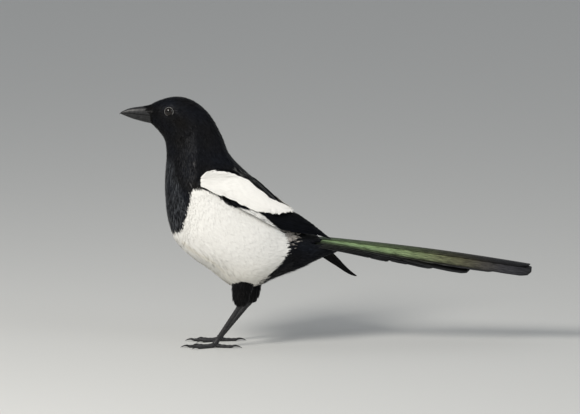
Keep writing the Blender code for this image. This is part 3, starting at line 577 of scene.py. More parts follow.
def spread_points(surface, t_range, spacing, count, keep, seed):
    """Feather roots over a surface, evenly random and no nearer than their own spacing."""
    rng = np.random.default_rng(seed)
    t = rng.uniform(*t_range, count)
    a = rng.uniform(-math.pi, math.pi, count)
    e = 0.03
    steps = surface(t + e, a) - surface(t - e, a), surface(t, a + e) - surface(t, a - e)
    area = np.linalg.norm(np.cross(*steps), axis=1)
    chosen = rng.uniform(0, 1, count) < area / np.percentile(area, 99)
    t, a = t[chosen], a[chosen]
    points = surface(t, a)
    chosen = keep(points)
    t, a, points = t[chosen], a[chosen], points[chosen]
    cells = np.floor(points / ROOT_CELL).astype(int).tolist()
    grid, kept = {}, []
    for i, (p, gap, (x, y, z)) in enumerate(zip(points.tolist(), spacing(points, t).tolist(), cells)):
        reach = range(-1, 2) if gap < ROOT_CELL else range(-2, 3)
        near = (q for u in reach for v in reach for w in reach
                for q in grid.get((x + u, y + v, z + w), ()))
        if all((p[0] - q[0]) ** 2 + (p[1] - q[1]) ** 2 + (p[2] - q[2]) ** 2 >= gap * gap for q in near):
            grid.setdefault((x, y, z), []).append(p)
            kept.append(i)
    return t[kept], a[kept], points[kept]


def feather_fans(paths, normals, sides, widths, relief, tint_at, rng, blades=5, ragged=0.10):
    """Many small feathers, each a fan of barbs over its own path.

    paths is (feathers, rows, 3), and normals and sides go with it. relief is how rough
    each feather is, 1 for a loose one, and tint_at gives the barbs' colours.
    """
    count, rows = paths.shape[:2]
    fan = (count, blades)
    index = np.arange(count)[:, None]
    relief = np.broadcast_to(relief, (count,))[:, None]
    widths = widths[:, None]
    lean = np.linspace(-1.0, 1.0, blades)[None, :] + rng.normal(0, 0.08, fan)
    stretch = np.clip(1 - 0.20 * lean**2 + rng.normal(0, ragged, fan), 0.6, 1.12)
    step = rng.normal(0, 0.10, fan)
    half_blade = widths / blades * (1.0 - 0.28 * relief)
    roll = (rng.normal(0, 0.16, fan) * relief + 0.16 * lean)[:, :, None]
    pitch = ((0.08 + rng.normal(0, 0.10, fan)) * relief)[:, :, None]
    points = np.zeros((*fan, BLADE_POINTS, 3))
    facing = np.zeros_like(points)
    for row, (share, wide) in enumerate(BLADE_ROWS):
        i = np.clip(np.floor(np.clip(share * stretch, 0, 1) * (rows - 1)).astype(int), 0, rows - 2)
        f = (share * stretch * (rows - 1) - i)[:, :, None]
        normal, side = normals[index, i], sides[index, i]
        off = widths * 0.5 * lean * (share + 0.12) ** 0.75 * (1 - 0.25 * share)
        high = (step * 0.3 - 0.10 * np.abs(lean)) * share * widths * relief
        middle = paths[index, i] * (1 - f) + paths[index, i + 1] * f
        middle = middle + side * off[:, :, None] + normal * high[:, :, None]
        turned = unit(normal + side * roll * (0.3 + 0.7 * share) - np.cross(side, normal) * pitch)
        for corner, way in ((2 * row, -1), (2 * row + 1, 1)) if wide else ((2 * row, 0),):
            points[:, :, corner] = middle + side * (half_blade * wide * way)[:, :, None]
            facing[:, :, corner] = turned
    starts = np.arange(count * blades)[:, None, None] * BLADE_POINTS
    faces = (BLADE_FACES[None] + starts).reshape(-1, 3)
    stray = rng.normal(0, 1, count * blades)
    colours, rough, white = tint_at(points[:, :, 4:].mean(axis=2).reshape(-1, 3), stray)
    white = white.reshape(*fan, 1, 1)
    shade = 1 + rng.normal(0, 1, (*fan, 1, 1)) * (0.22 - 0.21 * white)
    # Black barbs get painted shade at the root, where they tuck under the next feather, and a painted
    # highlight at the tip; white ones get almost none.
    barb_shade_and_highlight = BLADE_SHADE_AND_HIGHLIGHT * (1 - white) + (0.05 * BLADE_SHADE_AND_HIGHLIGHT + 0.95) * white
    tint = np.ones((*fan, BLADE_POINTS, 4))
    tint[..., :3] = np.clip(colours.reshape(*fan, 1, 3) * shade * barb_shade_and_highlight, 0, 0.9)
    tint[..., 3] = rough.reshape(*fan, 1)
    return points.reshape(-1, 3), faces, tint.reshape(-1, 4), facing.reshape(-1, 3)


def patch_uvs(places, corners):
    """Each feather's corners in a tiny patch at its root's place."""
    turn = np.arange(corners) * 2.4
    ring = np.stack((np.cos(turn), np.sin(turn)), axis=1) * PATCH / 2
    return (places[:, None, :] + ring[None]).reshape(-1, 2)


def feather_pieces(name, material, slot, fans, places):
    """The feathers as one piece, or as several where they pass the most triangles of a piece."""
    points, faces, tints, facing = fans
    corners, triangles = len(points) // len(places), len(faces) // len(places)
    uvs = patch_uvs(places, corners)
    most = MOST_TRIANGLES // triangles
    for k, start in enumerate(range(0, len(places), most)):
        rows = slice(start * corners, (start + most) * corners)
        part = faces[start * triangles : (start + most) * triangles] - start * corners
        word = name if len(places) <= most else f"{name}_{k}"
        mesh_piece(word, points[rows], part, material, slot, uvs=uvs[rows],
                   custom_normal=facing[rows], tint=tints[rows])


def coat(name, surface, t, a, lengths, widths, lifts, sinks, relief, material, tint_at, places, seed):
    """Feathers rooted at (t, a) of a surface, each lying along it towards the tail."""
    rng = np.random.default_rng(seed)
    _, _, pace = lie(surface, t, a)
    drift = rng.normal(0, 0.10, len(t))
    girth = np.linalg.norm(surface(t, a + 0.02) - surface(t, a - 0.02), axis=1) / 0.04
    rows = []
    for share in np.linspace(0, 1, PATH_ROWS):
        at_t = t + share * lengths * np.cos(drift) / pace
        at_a = a + share * lengths * np.sin(drift) / np.maximum(girth, 2.0)
        normal, flow, step = lie(surface, np.maximum(at_t, 0.02), at_a)
        base = surface(at_t, at_a)
        if surface is body_surface:
            base = base + flow * (np.maximum(at_t - LAST_RIB, 0.0) * step)[:, None]
        high = -sinks + (lifts + sinks) * share**0.8
        rows.append((base + normal * high[:, None], normal, unit(np.cross(normal, flow))))
    paths, normals, sides = (np.stack(parts, axis=1) for parts in zip(*rows))
    fans = feather_fans(paths, normals, sides, widths, relief, tint_at, rng)
    feather_pieces(name, material, "white_plumage" if "white" in name else "black_plumage", fans, places)


def eye_places():
    """The middles of the eyes, from the frame."""
    found = {}
    for side, word in WORDS.items():
        low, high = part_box(f"eye_{word}")
        found[side] = np.array((low + high) / 2) / METRES
    return found


EYES = eye_places()


def eye_axis(side):
    """The way that the eye looks."""
    return Vector((EYE_LOOKS.x, EYE_LOOKS.y * side, EYE_LOOKS.z))


def off_eye(points):
    """How far each point is from the nearer eye's line of sight."""
    best = np.full(len(points), 1e9)
    for side, centre in EYES.items():
        looks = np.array(eye_axis(side))
        away = points - centre
        depth = away @ looks
        flat = np.linalg.norm(away - depth[:, None] * looks, axis=1)
        best = np.where(depth > -2, np.minimum(best, flat), best)
    return best


def trunk_place(t, turn):
    """The place on the skin's map of a point of the trunk; turn counts once round it."""
    return np.stack((MAP_EDGE + TRUNK_LONG * t / LAST_RIB, MAP_EDGE + TRUNK_ROUND * turn), axis=1)


def thigh_place(side, t, turn):
    """The same as trunk_place, for one thigh."""
    low = MAP_EDGE + (0.5 if side == RIGHT else 0.0)
    return np.stack((THIGH_START + THIGH_LONG * t / LAST_THIGH, low + THIGH_ROUND * turn), axis=1)


def wrapped(places, faces):
    """Each face's own corners on the map, where faces over the seam end beyond it."""
    corners = places[np.array(faces)]
    v = corners[:, :, 1]
    over = (v.max(axis=1) - v.min(axis=1) > 0.3)[:, None] & (v < v.mean(axis=1, keepdims=True))
    whole = np.where(corners[:, :1, 0] > THIGH_START - MAP_EDGE, THIGH_ROUND, TRUNK_ROUND)
    corners[:, :, 1] = v + over * whole
    return corners


def build_skin(material):
    """One skin under the feathers, from the face to the end of the tail's coverts."""
    turns = turns_round(SKIN_CORNERS)
    rings, places = [], []
    for t in np.linspace(0, LAST_RIB, SKIN_RINGS):
        full = np.full(len(turns), t)
        points = body_surface(full, turns)
        near_eye = np.exp(-((off_eye(points) / EYE_HOLLOW) ** 2))
        depth = np.where(inside_view(WHITE_FLANK, points) > 4.0, 1.2, np.interp(t, *COAT_DEPTHS))
        depth = depth * (1 - near_eye) + 0.25 * near_eye + 2.0 * max(1 - t / 0.4, 0.0)
        depth = depth + 6.0 * ease(inside_view(TAIL_WINDOW, points) / 3.0 + 0.7)
        normal, _, _ = lie(body_surface, np.clip(full, 0.03, LAST_RIB - 0.03), turns)
        rings.append(points - normal * depth[:, None])
        places.append(trunk_place(full, share_of_turn(turns)))
    points, faces = tube_grid(rings)
    trunk = len(points)
    middles = np.array((0.5, 0.5))
    places.append(trunk_place(np.array((0.0, LAST_RIB)), middles))
    around = turns_round(THIGH_CORNERS)
    for side in (LEFT, RIGHT):
        surface = thigh_surface(side)
        rings = []
        for t in np.linspace(0, LAST_THIGH, THIGH_RINGS):
            full = np.full(len(around), t)
            rings.append(surface(full, around, -1.2))
            places.append(thigh_place(side, full, share_of_turn(around)))
        places.append(thigh_place(side, np.array((0.0, LAST_THIGH)), middles))
        more, extra = tube_grid(rings)
        faces += [tuple(i + len(points) for i in face) for face in extra]
        points = np.vstack((points, more))
    colour, rough, _ = markings(points, np.zeros(len(points)))
    colour[trunk:] = BLACK
    # The skin takes the plumage's colours darkened to 0.8, as painted shade under the coat.
    mesh_piece("skin", points, faces, material, "black_plumage",
               ("head", "neck", "torso", "thigh_left", "thigh_right"),
               wrapped(np.concatenate(places), faces),
               tint=np.concatenate((colour * 0.8, rough[:, None]), axis=1))


def border(points):
    """1 on the edge of the white flank and 0 well off it."""
    return np.exp(-((inside_view(WHITE_FLANK, points) / 5.0) ** 2))


def build_body_coat(material):
    """The coat over the trunk: small on the face, and short along the white flank's edge."""
    def spacing(points, t):
        return 0.82 * np.interp(t, *COAT_GAPS) * (1 - 0.42 * border(points))

    def keep(points):
        return (off_eye(points) > BARE_EYE) & (inside_view(TAIL_WINDOW, points) < -1.0)

    t, a, points = spread_points(body_surface, (0.0, COAT_END), spacing, COAT_TRIES, keep, 31)
    rng = np.random.default_rng(8)
    length = np.interp(t, *COAT_LENGTHS) * rng.uniform(0.82, 1.15, len(t)) * (1 - 0.58 * border(points))
    _, flow, pace = lie(body_surface, t, a)
    for _ in range(6):
        nearest = np.minimum(*(off_eye(body_surface(t + share * length / pace, a)) for share in (1.0, 0.5)))
        length = np.where(nearest < BARE_EYE + 0.3, length * 0.72, length)
    width = np.clip(length * 0.44, 1.2, 7.0)
    for _ in range(4):
        over_tail = inside_view(TAIL_WINDOW, body_surface(t + length / pace, a)) > 1.0
        length = np.where(over_tail, length * 0.7, length)
    at = in_view(points + flow * (length * 0.7)[:, None])
    belly = inside(WHITE_FLANK, at) > 0
    depth = np.where(belly, 1.1, np.interp(t, *COAT_DEPTHS))
    length = np.where(belly, length * 1.25, length)
    depth = depth * (1 - np.exp(-(((off_eye(points) - BARE_EYE) / 3.0) ** 2)))
    lift = np.where(belly, 0.25, np.interp(t, *COAT_LIFTS))
    creased, before = edge_distance(EAR_CREASE, at)
    lift = lift + 0.9 * ease(1.3 - creased / 4.0) * (before > 0) * (t < CREASE_END)
    folded, above = edge_distance(BREAST_FOLD, at)
    lift = lift + 1.2 * ease(1.2 - folded / 5.0) * (above < 0) * belly
    lift = lift + np.where(inside(VENT, at) > 0, rng.uniform(0.0, 1.6, len(t)), 0.0)
    relief = np.where(belly, 0.2, 1.0)
    places = trunk_place(t, share_of_turn(a))
    regions = {
        "coat_head": t < HEAD_END,
        "coat_neck": (t >= HEAD_END) & (t < NECK_END) & ~belly,
        "coat_back": (t >= NECK_END) & ~belly,
        "coat_white_flank": belly,
    }
    for k, (name, pick) in enumerate(regions.items()):
        coat(name, body_surface, t[pick], a[pick], length[pick], width[pick], lift[pick],
             depth[pick] + 0.2, relief[pick], material, markings, places[pick], 50 + k)


def build_thigh_coat(material):
    """Short loose feathers that end above the ankles."""
    for side, word in WORDS.items():
        surface = thigh_surface(side)
        t, a, points = spread_points(
            surface, (1.0, LAST_THIGH - 0.1), lambda p, t: np.full(len(p), THIGH_GAP), THIGH_TRIES,
            lambda p: p[:, 2] < THIGH_TOP, 60 + side)
        rng = np.random.default_rng(9)
        length = np.minimum(rng.uniform(6.0, 10.5, len(t)), 3.0 + (points[:, 2] - 39.0) * 0.9)
        places = thigh_place(side, t, share_of_turn(a))
        coat(f"coat_thigh_{word}", surface, t, a, length, np.full(len(t), 2.6),
             rng.uniform(0.3, 2.0, len(t)), np.full(len(t), 1.4), 1.0, material, plain_black, places,
             70 + side)


def guide_tree():
    """A search tree over the body one seam larger, as the wings' bed."""
    turns = turns_round(48)
    rings = [body_surface(np.full(48, t), turns, SEAM, 0.0) for t in np.linspace(3.35, LAST_RIB, 60)]
    points, faces = tube_grid(rings)
    return BVHTree.FromPolygons([Vector(p) for p in points], faces)


TREE = guide_tree()


def sheet_row(side, x):
    """The top's z and y and the lower edge's z and y of the wing's sheet at x."""
    rows = SHEETS[side]
    t = float(np.interp(x, rows[:, 0], np.arange(len(rows))))
    return catmull(rows, np.array((t,)))[0, 1:]


def sheet_point(side, x, w, height):
    """The point at x and share w across the wing's sheet, raised by the height, and its normal."""
    top_z, top_y, low_z, low_y = sheet_row(side, x)
    a = w * math.pi / 2
    y = top_y + (low_y - top_y) * math.sin(a)
    z = low_z + (top_z - low_z) * math.cos(a)
    out = Vector((0.0, side * (top_z - low_z) * math.sin(a), (low_y - top_y) * math.cos(a))).normalized()
    lying = Vector((x, side * y, z)) + out * WING_BED
    near, normal, _, _ = TREE.find_nearest(lying)
    if (lying - near).dot(normal) < CLEAR_OF_BODY:
        lying = near + normal * CLEAR_OF_BODY
    return lying + out * (height - WING_BED), out


def sheet_width(side, x):
    """About how wide the wing's sheet is at x, measured over its curve."""
    top_z, top_y, low_z, low_y = sheet_row(side, x)
    return 1.12 * math.hypot(top_z - low_z, low_y - top_y)


def long_vane(place, length, half, shape, rng, tint_of, rows, thick=0.22):
    """One long feather: a cambered vane with a raised shaft and a few splits in its edge."""
    outline = np.array(shape).T
    notches = {}
    for _ in range(VANE_NOTCHES):
        notches[int(rng.integers(6, rows - 3))] = (rng.choice((-1, 1)), rng.uniform(0.05, 0.16))
    top, under, lay, tint = [], [], [], []
    for i, along in enumerate(1 - (1 - np.linspace(0, 1, rows)) ** 1.25):
        share = float(np.interp(along, *outline))
        for across in ACROSS:
            v = across * share
            if i in notches and across * notches[i][0] > 0.7:
                v *= 1 - notches[i][1]
            shaft = SHAFT_RISE * (abs(across) < SHAFT_SHARE) * (1 - 0.7 * along)
            height = -VANE_CURVE * half * across * across * share + shaft
            top.append(place(along, v, height))
            under.append(place(along, v, height - thick))
            lay.append((along * length, v * half, 0.0))
            tint.append(tint_of(along, across))
    columns, below = len(ACROSS), len(top)
    faces = []
    for a in range(below - columns):
        if a % columns < columns - 1:
            faces.append((a, a + 1, a + columns + 1, a + columns))
            faces.append((a + below, a + columns + below, a + columns + 1 + below, a + 1 + below))
        if a % columns in (0, columns - 1):
            faces.append((a, a + columns, a + columns + below, a + below))
    for start in (0, below - columns):
        faces += [(a, a + 1, a + 1 + below, a + below) for a in range(start, start + columns - 1)]
    return [tuple(p) for p in top + under], faces, tint + [(*VANE_BELOW, 0.4)] * below, lay * 2


def join_vanes(name, vanes, material, slot, replaced):
    """All the long feathers of one part as a single piece, each in its own strip of the map."""
    points, faces, tints, lays, uvs = [], [], [], [], []
    for k, (p, f, tint, lay) in enumerate(vanes):
        faces += [tuple(i + len(points) for i in face) for face in f]
        points += p
        tints += tint
        lays += [(x + 40.0 * k, y, 0.0) for x, y, _ in lay]
        half = max(abs(y) for _, y, _ in lay) * 2.4
        long = max(x for x, _, _ in lay)
        for j, (x, y, _) in enumerate(lay):
            under = 0.5 if j >= len(lay) // 2 else 0.0
            uvs.append((0.01 + 0.48 * x / long + under, (k + 0.5 + y / half) / len(vanes)))
    mesh_piece(name, points, faces, material, slot, (replaced,), uvs, tint=tints, lay=lays)


def wing_tint(rng, shaded_under_webs):
    """The colour over one wing feather, with the white inner webs of those that show their under side
    painted in shade as a dull olive.
    """
    shade = rng.uniform(0.8, 1.2)

    def tint(along, across):
        edge = 0.5 * max(abs(across) - 0.8, 0.0) / 0.2
        colour = WING_WEBS[int(across > 0)] * shade * (1 - edge) + WING_EDGE * edge
        # Painted shade: the white inner webs below, seen in shadow.
        if shaded_under_webs and across < -0.3 and along < 0.86:
            colour = WING_WEBS_IN_SHADE
        if abs(across) < SHAFT_SHARE:
            colour = WING_SHAFT
        return (*colour, 0.4)

    return tint


def build_wing(side, material):
    """A wing's long feathers, each tier's lying over the next one below."""
    rng = np.random.default_rng(40 + side)
    word = WORDS[side]
    vanes = []
    for tier, (count, first_root, last_root, first_tip, last_tip, height, late) in TIERS[side].items():
        width, shape = TIER_LOOKS[tier]
        paths = []
        for q in np.linspace(0.0, 1.0, count):
            root = [a + (b - a) * q for a, b in zip(first_root, last_root)]
            tip = [a + (b - a) * q for a, b in zip(first_tip, last_tip)]
            tip[0] += rng.uniform(-1.2, 1.2)
            paths.append((*root, *tip))

        def middle(path, x):
            root_x, root_w, tip_x, tip_w = path
            along = min(max((x - root_x) / (tip_x - root_x), 0.0), 1.0)
            return (root_w + (tip_w - root_w) * along**late) * sheet_width(side, x)

        for i, (root_x, root_w, tip_x, tip_w) in enumerate(paths):
            stations = np.linspace(root_x, tip_x, 12)
            lifts = [sum(max(VANE_STEP - VANE_TILT * (middle(under, x) - middle(upper, x)), 0.0)
                         for upper, under in zip(paths[i:], paths[i + 1 :])) for x in stations]

            def place(along, across, raised):
                x = root_x + (tip_x - root_x) * along
                w = root_w + (tip_w - root_w) * along**late
                away = across * width / 2
                rooted = 1 - float(ease(along / 0.22))
                high = height + float(np.interp(x, stations, lifts)) + VANE_TILT * away + raised
                high -= rooted * (height + 2.5)
                return sheet_point(side, x, w + away / sheet_width(side, x), high)[0]

            shaded_under_webs = side == RIGHT and tier == "flight" and i > count - 6
            long = abs(tip_x - root_x) * 1.15
            vanes.append(long_vane(place, long, width / 2, shape, rng, wing_tint(rng, shaded_under_webs), 22))
    for points, _, tints, _ in vanes:
        whites = inside_view(WHITE_FLANK, np.array(points)) > 0.3
        tints[:] = [(*WHITE, 0.7) if white else tint for tint, white in zip(tints, whites)]
    join_vanes(f"wing_feathers_{word}", vanes, material, "wing_plumage", f"wing_{word}")


def build_wing_coat(side, material):
    """The small coverts and the white scapulars, lying over the wing's arm."""
    rng = np.random.default_rng(90 + side)
    seeds = []
    for x in np.arange(*ARM_SPAN, COVERT_GAPS[0]):
        count = int(sheet_width(side, x) / COVERT_GAPS[1])
        for k in range(count):
            w = (k + rng.uniform(0.1, 0.9)) / count * 1.02 - 0.01
            seeds.append((x + rng.uniform(-1.1, 1.1), w))
    seeds = np.array(seeds)
    at = in_view(np.array([sheet_point(side, x, w, 0.0)[0] for x, w in seeds]))
    white = inside(WHITE_SCAPULARS, at) + rng.normal(0, 0.2, len(at)) > 1.2
    front = (seeds[:, 0] < -96 + 3 * rng.normal(size=len(seeds))) & (seeds[:, 0] > -128)
    pick = white | (front & (seeds[:, 1] < 0.86))
    seeds, white = seeds[pick], white[pick]
    length = np.where(white, rng.uniform(14, 19, len(seeds)), rng.uniform(7, 10, len(seeds)))
    for _ in range(8):
        ends = [sheet_point(side, x + 0.86 * long, w, 0.0)[0] for (x, w), long in zip(seeds, length)]
        beyond = inside_view(WHITE_SCAPULARS, np.array(ends)) < 0.6
        length = np.where(beyond & white, length * 0.8, length)
    width = np.where(white, np.clip(length * 0.42, 2.4, 6.5), 3.8)
    sunk = np.interp(seeds[:, 0], (-132, -112), (-1.8, 0.0))
    top, root = np.where(white, 1.6, 0.3) + sunk, np.where(white, 0.6, -0.7) + sunk
    rows = []
    for share in np.linspace(0, 1, PATH_ROWS):
        rows.append([sheet_point(side, x + long * share * 0.86, w + drift * share,
                                 low + (high - low) * share**0.7)
                     for (x, w), long, high, low, drift in zip(
                         seeds, length, top, root, np.where(white, 0.0, 0.02))])
    paths, normals = np.transpose(np.array(rows, float), (2, 1, 0, 3))
    sides = unit(np.cross(normals, unit(np.gradient(paths, axis=1))))

    def tint_at(points, stray):
        each = np.repeat(white, len(points) // len(white))
        return np.where(each[:, None], WHITE, BLUE_BLACK), np.where(each, 0.75, 0.42), each * 1.0

    fans = feather_fans(paths, normals, sides, width, np.where(white, 0.25, 1.0), tint_at, rng, 7, 0.08)
    places = np.stack((0.05 + 0.9 * (seeds[:, 0] + 134) / 104,
                       0.05 + 0.9 * np.clip(seeds[:, 1], 0, 1)), axis=1)
    feather_pieces(f"wing_coverts_{WORDS[side]}", material, "wing_plumage", fans, places)


def tail_place(pair, side, rng):
    """Where a tail feather's points lie: along from its root, across from its shaft, and up."""
    length = TAIL_LENGTHS[pair] * rng.uniform(0.992, 1.004)
    half = TAIL_WIDTHS[pair] / 2
    layer = pair + 1 if pair > 0 else int(side == LEFT)
    inner = -6.5 if pair == 0 else 0.25
    if (pair, side) == (0, LEFT):
        length += LEFT_CENTRAL_LONGER
    stray = rng.uniform(-0.5, 0.5)

    def place(along, across, height):
        run = along * (length + TAIL_FORWARD) - TAIL_FORWARD
        bend = TAIL_BEND * run / TAIL_LENGTHS[0]
        turn, mean = TAIL_DROP + bend, TAIL_DROP + bend / 2
        middle = TAIL_ROOT_SPREAD[0] + TAIL_ROOT_SPREAD[1] * pair
        middle += (TAIL_TIP_SPREAD[pair] + stray - middle) * run / length
        y = max(middle + half * across, inner)
        outward = float(ease(run / TAIL_TWIST_RUN))
        z = height - layer * (TAIL_STEP[0] + TAIL_STEP[1] * outward)
        z -= (TAIL_SLOPE[0] + TAIL_SLOPE[1] * outward) * (math.hypot(y, TAIL_RIDGE) - TAIL_RIDGE)
        z -= TAIL_DIP * (1 - float(ease((run + TAIL_FORWARD) / TAIL_DIP_RUN)))
        z -= TAIL_TIP_DROOP[pair] * float(ease(2 * along - 1))
        twist = TAIL_TWIST * outward
        y, z = (side * y * math.cos(twist) - z * math.sin(twist),
                side * y * math.sin(twist) + z * math.cos(twist))
        x = TAIL_ROOT[0] + run * math.cos(mean) + z * math.sin(turn)
        return Vector((x, y, TAIL_ROOT[2] - run * math.sin(mean) + z * math.cos(turn)))

    return place


def tail_tint(pair, side, length, shade):
    """The colour over one tail feather: sheen on the webs that show, black below and inside, with painted
    shade on the outer pairs and on the far middle feather.
    """

    def tint(along, across):
        back = (1 - along) * length
        colour = np.array([np.interp(back, SHEEN[:, 0], SHEEN[:, c]) for c in (1, 2, 3)])
        # Painted shade: the outer pairs, darkest towards their tips, and the far middle feather, most on its
        # inner web.
        if pair >= 2:
            colour = colour * (0.10 + 0.20 * float(ease(back / length * 2 - 1)))
        if pair == 0 and side == RIGHT:
            colour = colour * (0.25 if across < 0.0 else 0.55)
        if pair > 0 and across < 0.1:
            colour = TAIL_INNER_WEB
        if across > 0.95 and pair > 0:
            colour = colour * 0.3 + TAIL_EDGE
        if abs(across) < 0.04:
            colour = TAIL_SHAFT
        return (*(colour * shade), 0.4)

    return tint


def build_tail(material):
    """The tail's twelve feathers, the middle pair on top."""
    rng = np.random.default_rng(11)
    vanes = []
    for pair, (length, width) in enumerate(zip(TAIL_LENGTHS, TAIL_WIDTHS)):
        for side in (LEFT, RIGHT):
            place = tail_place(pair, side, rng)
            tint = tail_tint(pair, side, length, rng.uniform(0.88, 1.1))
            vanes.append(long_vane(place, length, width / 2, TAIL_SHAPE, rng, tint, 56, 0.35))
    join_vanes("tail_feathers", vanes, material, "tail_plumage", "tail")


def build_bill(material):
    """Both halves of the bill, smooth from the face to the hooked tip."""
    turns = [math.pi * k / 22 for k in range(23)]
    for half, upper in (("upper", True), ("lower", False)):
        rings = []
        for t in np.linspace(0, len(BILL) - 1, 44):
            x, top, mouth, under, wide_above, wide_below = catmull(BILL, np.array((t,)))[0]
            edge, flat, wide = (top, mouth - 0.25, wide_above) if upper else (under, mouth + 0.1, wide_below)
            ring = [(x, wide * math.copysign(abs(math.cos(a)) ** 0.8, math.cos(a)),
                     flat + (edge - flat) * math.sin(a) ** 0.85) for a in turns]
            rings.append(ring + [(x, 0.0, flat)])
        for share in (0.5, 1.0) if upper else ():
            x, wide = BILL[-1, 0] - HOOK_REACH * share, 0.8 - 0.5 * share
            top, under = 235.0 - 1.2 * share, 234.2 - 1.5 * share
            ring = [(x, wide * math.cos(a), under + (top - under) * math.sin(a)) for a in turns]
            rings.append(ring + [(x, 0.0, under)])
        mesh_piece(f"bill_{half}_horn", *tube_grid(rings), material, "horn", (f"bill_{half}",))


def on_bill(p, pull):
    """The point moved out of the bill, or drawn towards its surface by the pull."""
    row = float(np.interp(-p[0], -BILL[:, 0], np.arange(len(BILL))))
    _, top, mouth, under, wide_above, wide_below = catmull(BILL, np.array((row,)))[0]
    rise = p[2] - mouth
    high, out = (top - mouth, wide_above) if rise > 0 else (mouth - under, wide_below)
    over = math.hypot(p[1] / (out + 0.3), rise / (high + 0.3))
    scale = 1 / max(over, 0.3) if over < 1 else 1 + (1 / over - 1) * pull
    return np.array((p[0], p[1] * scale, mouth + rise * scale))


def bristle_roots(rng):
    """Roots, reaches and widths of the bristles over the nostrils and of the short fringe
    all round the base of the bill."""
    rows = []
    for i in range(BRISTLES):
        side = LEFT if i % 2 else RIGHT
        low = rng.uniform(0, 1)
        across, high = side * (0.6 + 8.0 * low**0.8), 243.2 - 8.5 * low
        root = np.array((-170.0 + 3.5 * low + rng.uniform(-2.5, 1), across, high))
        rows.append((root, rng.uniform(7, 14) * (1 - 0.45 * low), rng.uniform(0.7, 1.2)))
    turns = rng.uniform(-math.pi, math.pi, FRINGE)
    for root in body_surface(rng.uniform(0.02, 0.45, len(turns)), turns):
        reach = 5.5 if root[2] > 236 else 2.0
        rows.append((root + np.array((0.5, 0, 0)), rng.uniform(0.6, 1.2) * reach, rng.uniform(0.8, 1.4)))
    return rows


def build_bristles(material):
    """Stiff hair-like feathers that lie forward over the base of the bill."""
    rng = np.random.default_rng(4)
    paths, widths = [], []
    for root, reach, width in bristle_roots(rng):
        row = []
        for share in np.linspace(0, 1, 6):
            p = root + np.array((-reach * share, 0.0, rng.uniform(-0.15, 0.15)))
            row.append(on_bill(p, 0.92 * float(ease(share * 1.3))) if p[0] < -168.0 else p)
        paths.append(row)
        widths.append(width)
    paths = np.array(paths)
    flow = unit(np.gradient(paths, axis=1))
    out = unit((paths - np.array((0.0, 0.0, MOUTH_HEIGHT))) * np.array((0, 1, 1)))
    sides = unit(np.cross(out, flow))
    fans = feather_fans(
        paths, unit(np.cross(flow, sides)), sides, np.array(widths), 1.0, plain_black, rng, 3, 0.12)
    turn = np.arctan2(paths[:, 0, 1], paths[:, 0, 2] - MOUTH_HEIGHT)
    places = trunk_place(rng.uniform(0.0, 0.3, len(paths)), share_of_turn(turn))
    feather_pieces("bristles", material, "black_plumage", fans, places)


def eye_material():
    """A wet eye, coloured by its own attribute."""
    made, tree, shader = start_material("eye_wet")
    tint = add_node(tree, "Attribute", {}, attribute_name="tint")
    feed(tree, shader, {"Base Color": tint, "Roughness": 0.05, "Specular IOR Level": 0.35})
    return made


def eyeball(centre, looks, across, up):
    """Rings and tints of an eye, round its line of sight, with the cornea a little proud."""
    rings, tint = [], []
    for polar in np.linspace(0.02, math.pi - 0.02, EYE_CORNERS):
        bulge = 1 + 0.03 * math.exp(-((polar / 0.55) ** 2))
        ring = []
        for a in (TURN * k / EYE_CORNERS for k in range(EYE_CORNERS)):
            way = looks * math.cos(polar) + (across * math.cos(a) + up * math.sin(a)) * math.sin(polar)
            ring.append(centre + way * EYE_RADIUS * bulge)
            speck = 0.8 + 0.4 * abs(math.sin(a * 23 + polar * 9))
            tint.append((*(IRIS * speck if 0.30 < polar < 0.80 else PUPIL), 1.0))
        rings.append(ring)
    return rings, tint + [tint[0], tint[-1]]


def eyelid(centre, looks, across, up):
    """A thin wrinkled ring of bare skin round the eye."""
    turns, corners = 56, 10
    points, faces = [], []
    for i in range(turns):
        a = TURN * i / turns
        out = across * math.cos(a) + up * math.sin(a) * 0.96
        wrinkle = 1 + 0.10 * math.sin(a * LID_WRINKLES)
        for k in range(corners):
            b = TURN * k / corners
            raised = looks * (LID_OUT + LID_THICK[0] * wrinkle * math.sin(b))
            points.append(centre + raised + out * (LID_WIDE + LID_THICK[1] * wrinkle * math.cos(b)))
            j, m = (i + 1) % turns, (k + 1) % corners
            faces.append((i * corners + k, j * corners + k, j * corners + m, i * corners + m))
    return points, faces


def build_eyes(lid_highlight_material):
    wet = eye_material()
    for side, word in WORDS.items():
        looks = eye_axis(side)
        across = looks.cross(Vector((0, 0, 1))).normalized()
        place = Vector(EYES[side]), looks, across, across.cross(looks)
        rings, tint = eyeball(*place)
        mesh_piece(f"eyeball_{word}", *tube_grid(rings), wet, "eye", (f"eye_{word}",), tint=tint)
        mesh_piece(f"eyelids_{word}", *eyelid(*place), lid_highlight_material, "leg_skin")


def smooth_tube(rows, corners, per_span, flat_floor=False):
    """Rings round a smooth path through rows of x, y, z and radius."""
    rows = np.array(rows, float)
    last = len(rows) - 1
    rings = []
    for t in np.linspace(0, last, last * per_span + 1):
        *middle, radius = catmull(rows, np.array((t,)))[0]
        before, after = catmull(rows, np.array((max(t - 0.05, 0), min(t + 0.05, last))))[:, :3]
        ahead = Vector(after - before).normalized()
        side = ahead.cross(Vector((0, 1, 0)))
        side = side.normalized() if side.length > 0.3 else ahead.cross(Vector((0, 0, 1))).normalized()
        up = side.cross(ahead)
        ring = []
        for k in range(corners):
            turn = TURN * k / corners
            p = Vector(middle) + (side * math.cos(turn) + up * math.sin(turn)) * radius
            ring.append((p.x, p.y, max(p.z, 0.0)) if flat_floor else tuple(p))
        rings.append(ring)
    return tube_grid(rings)


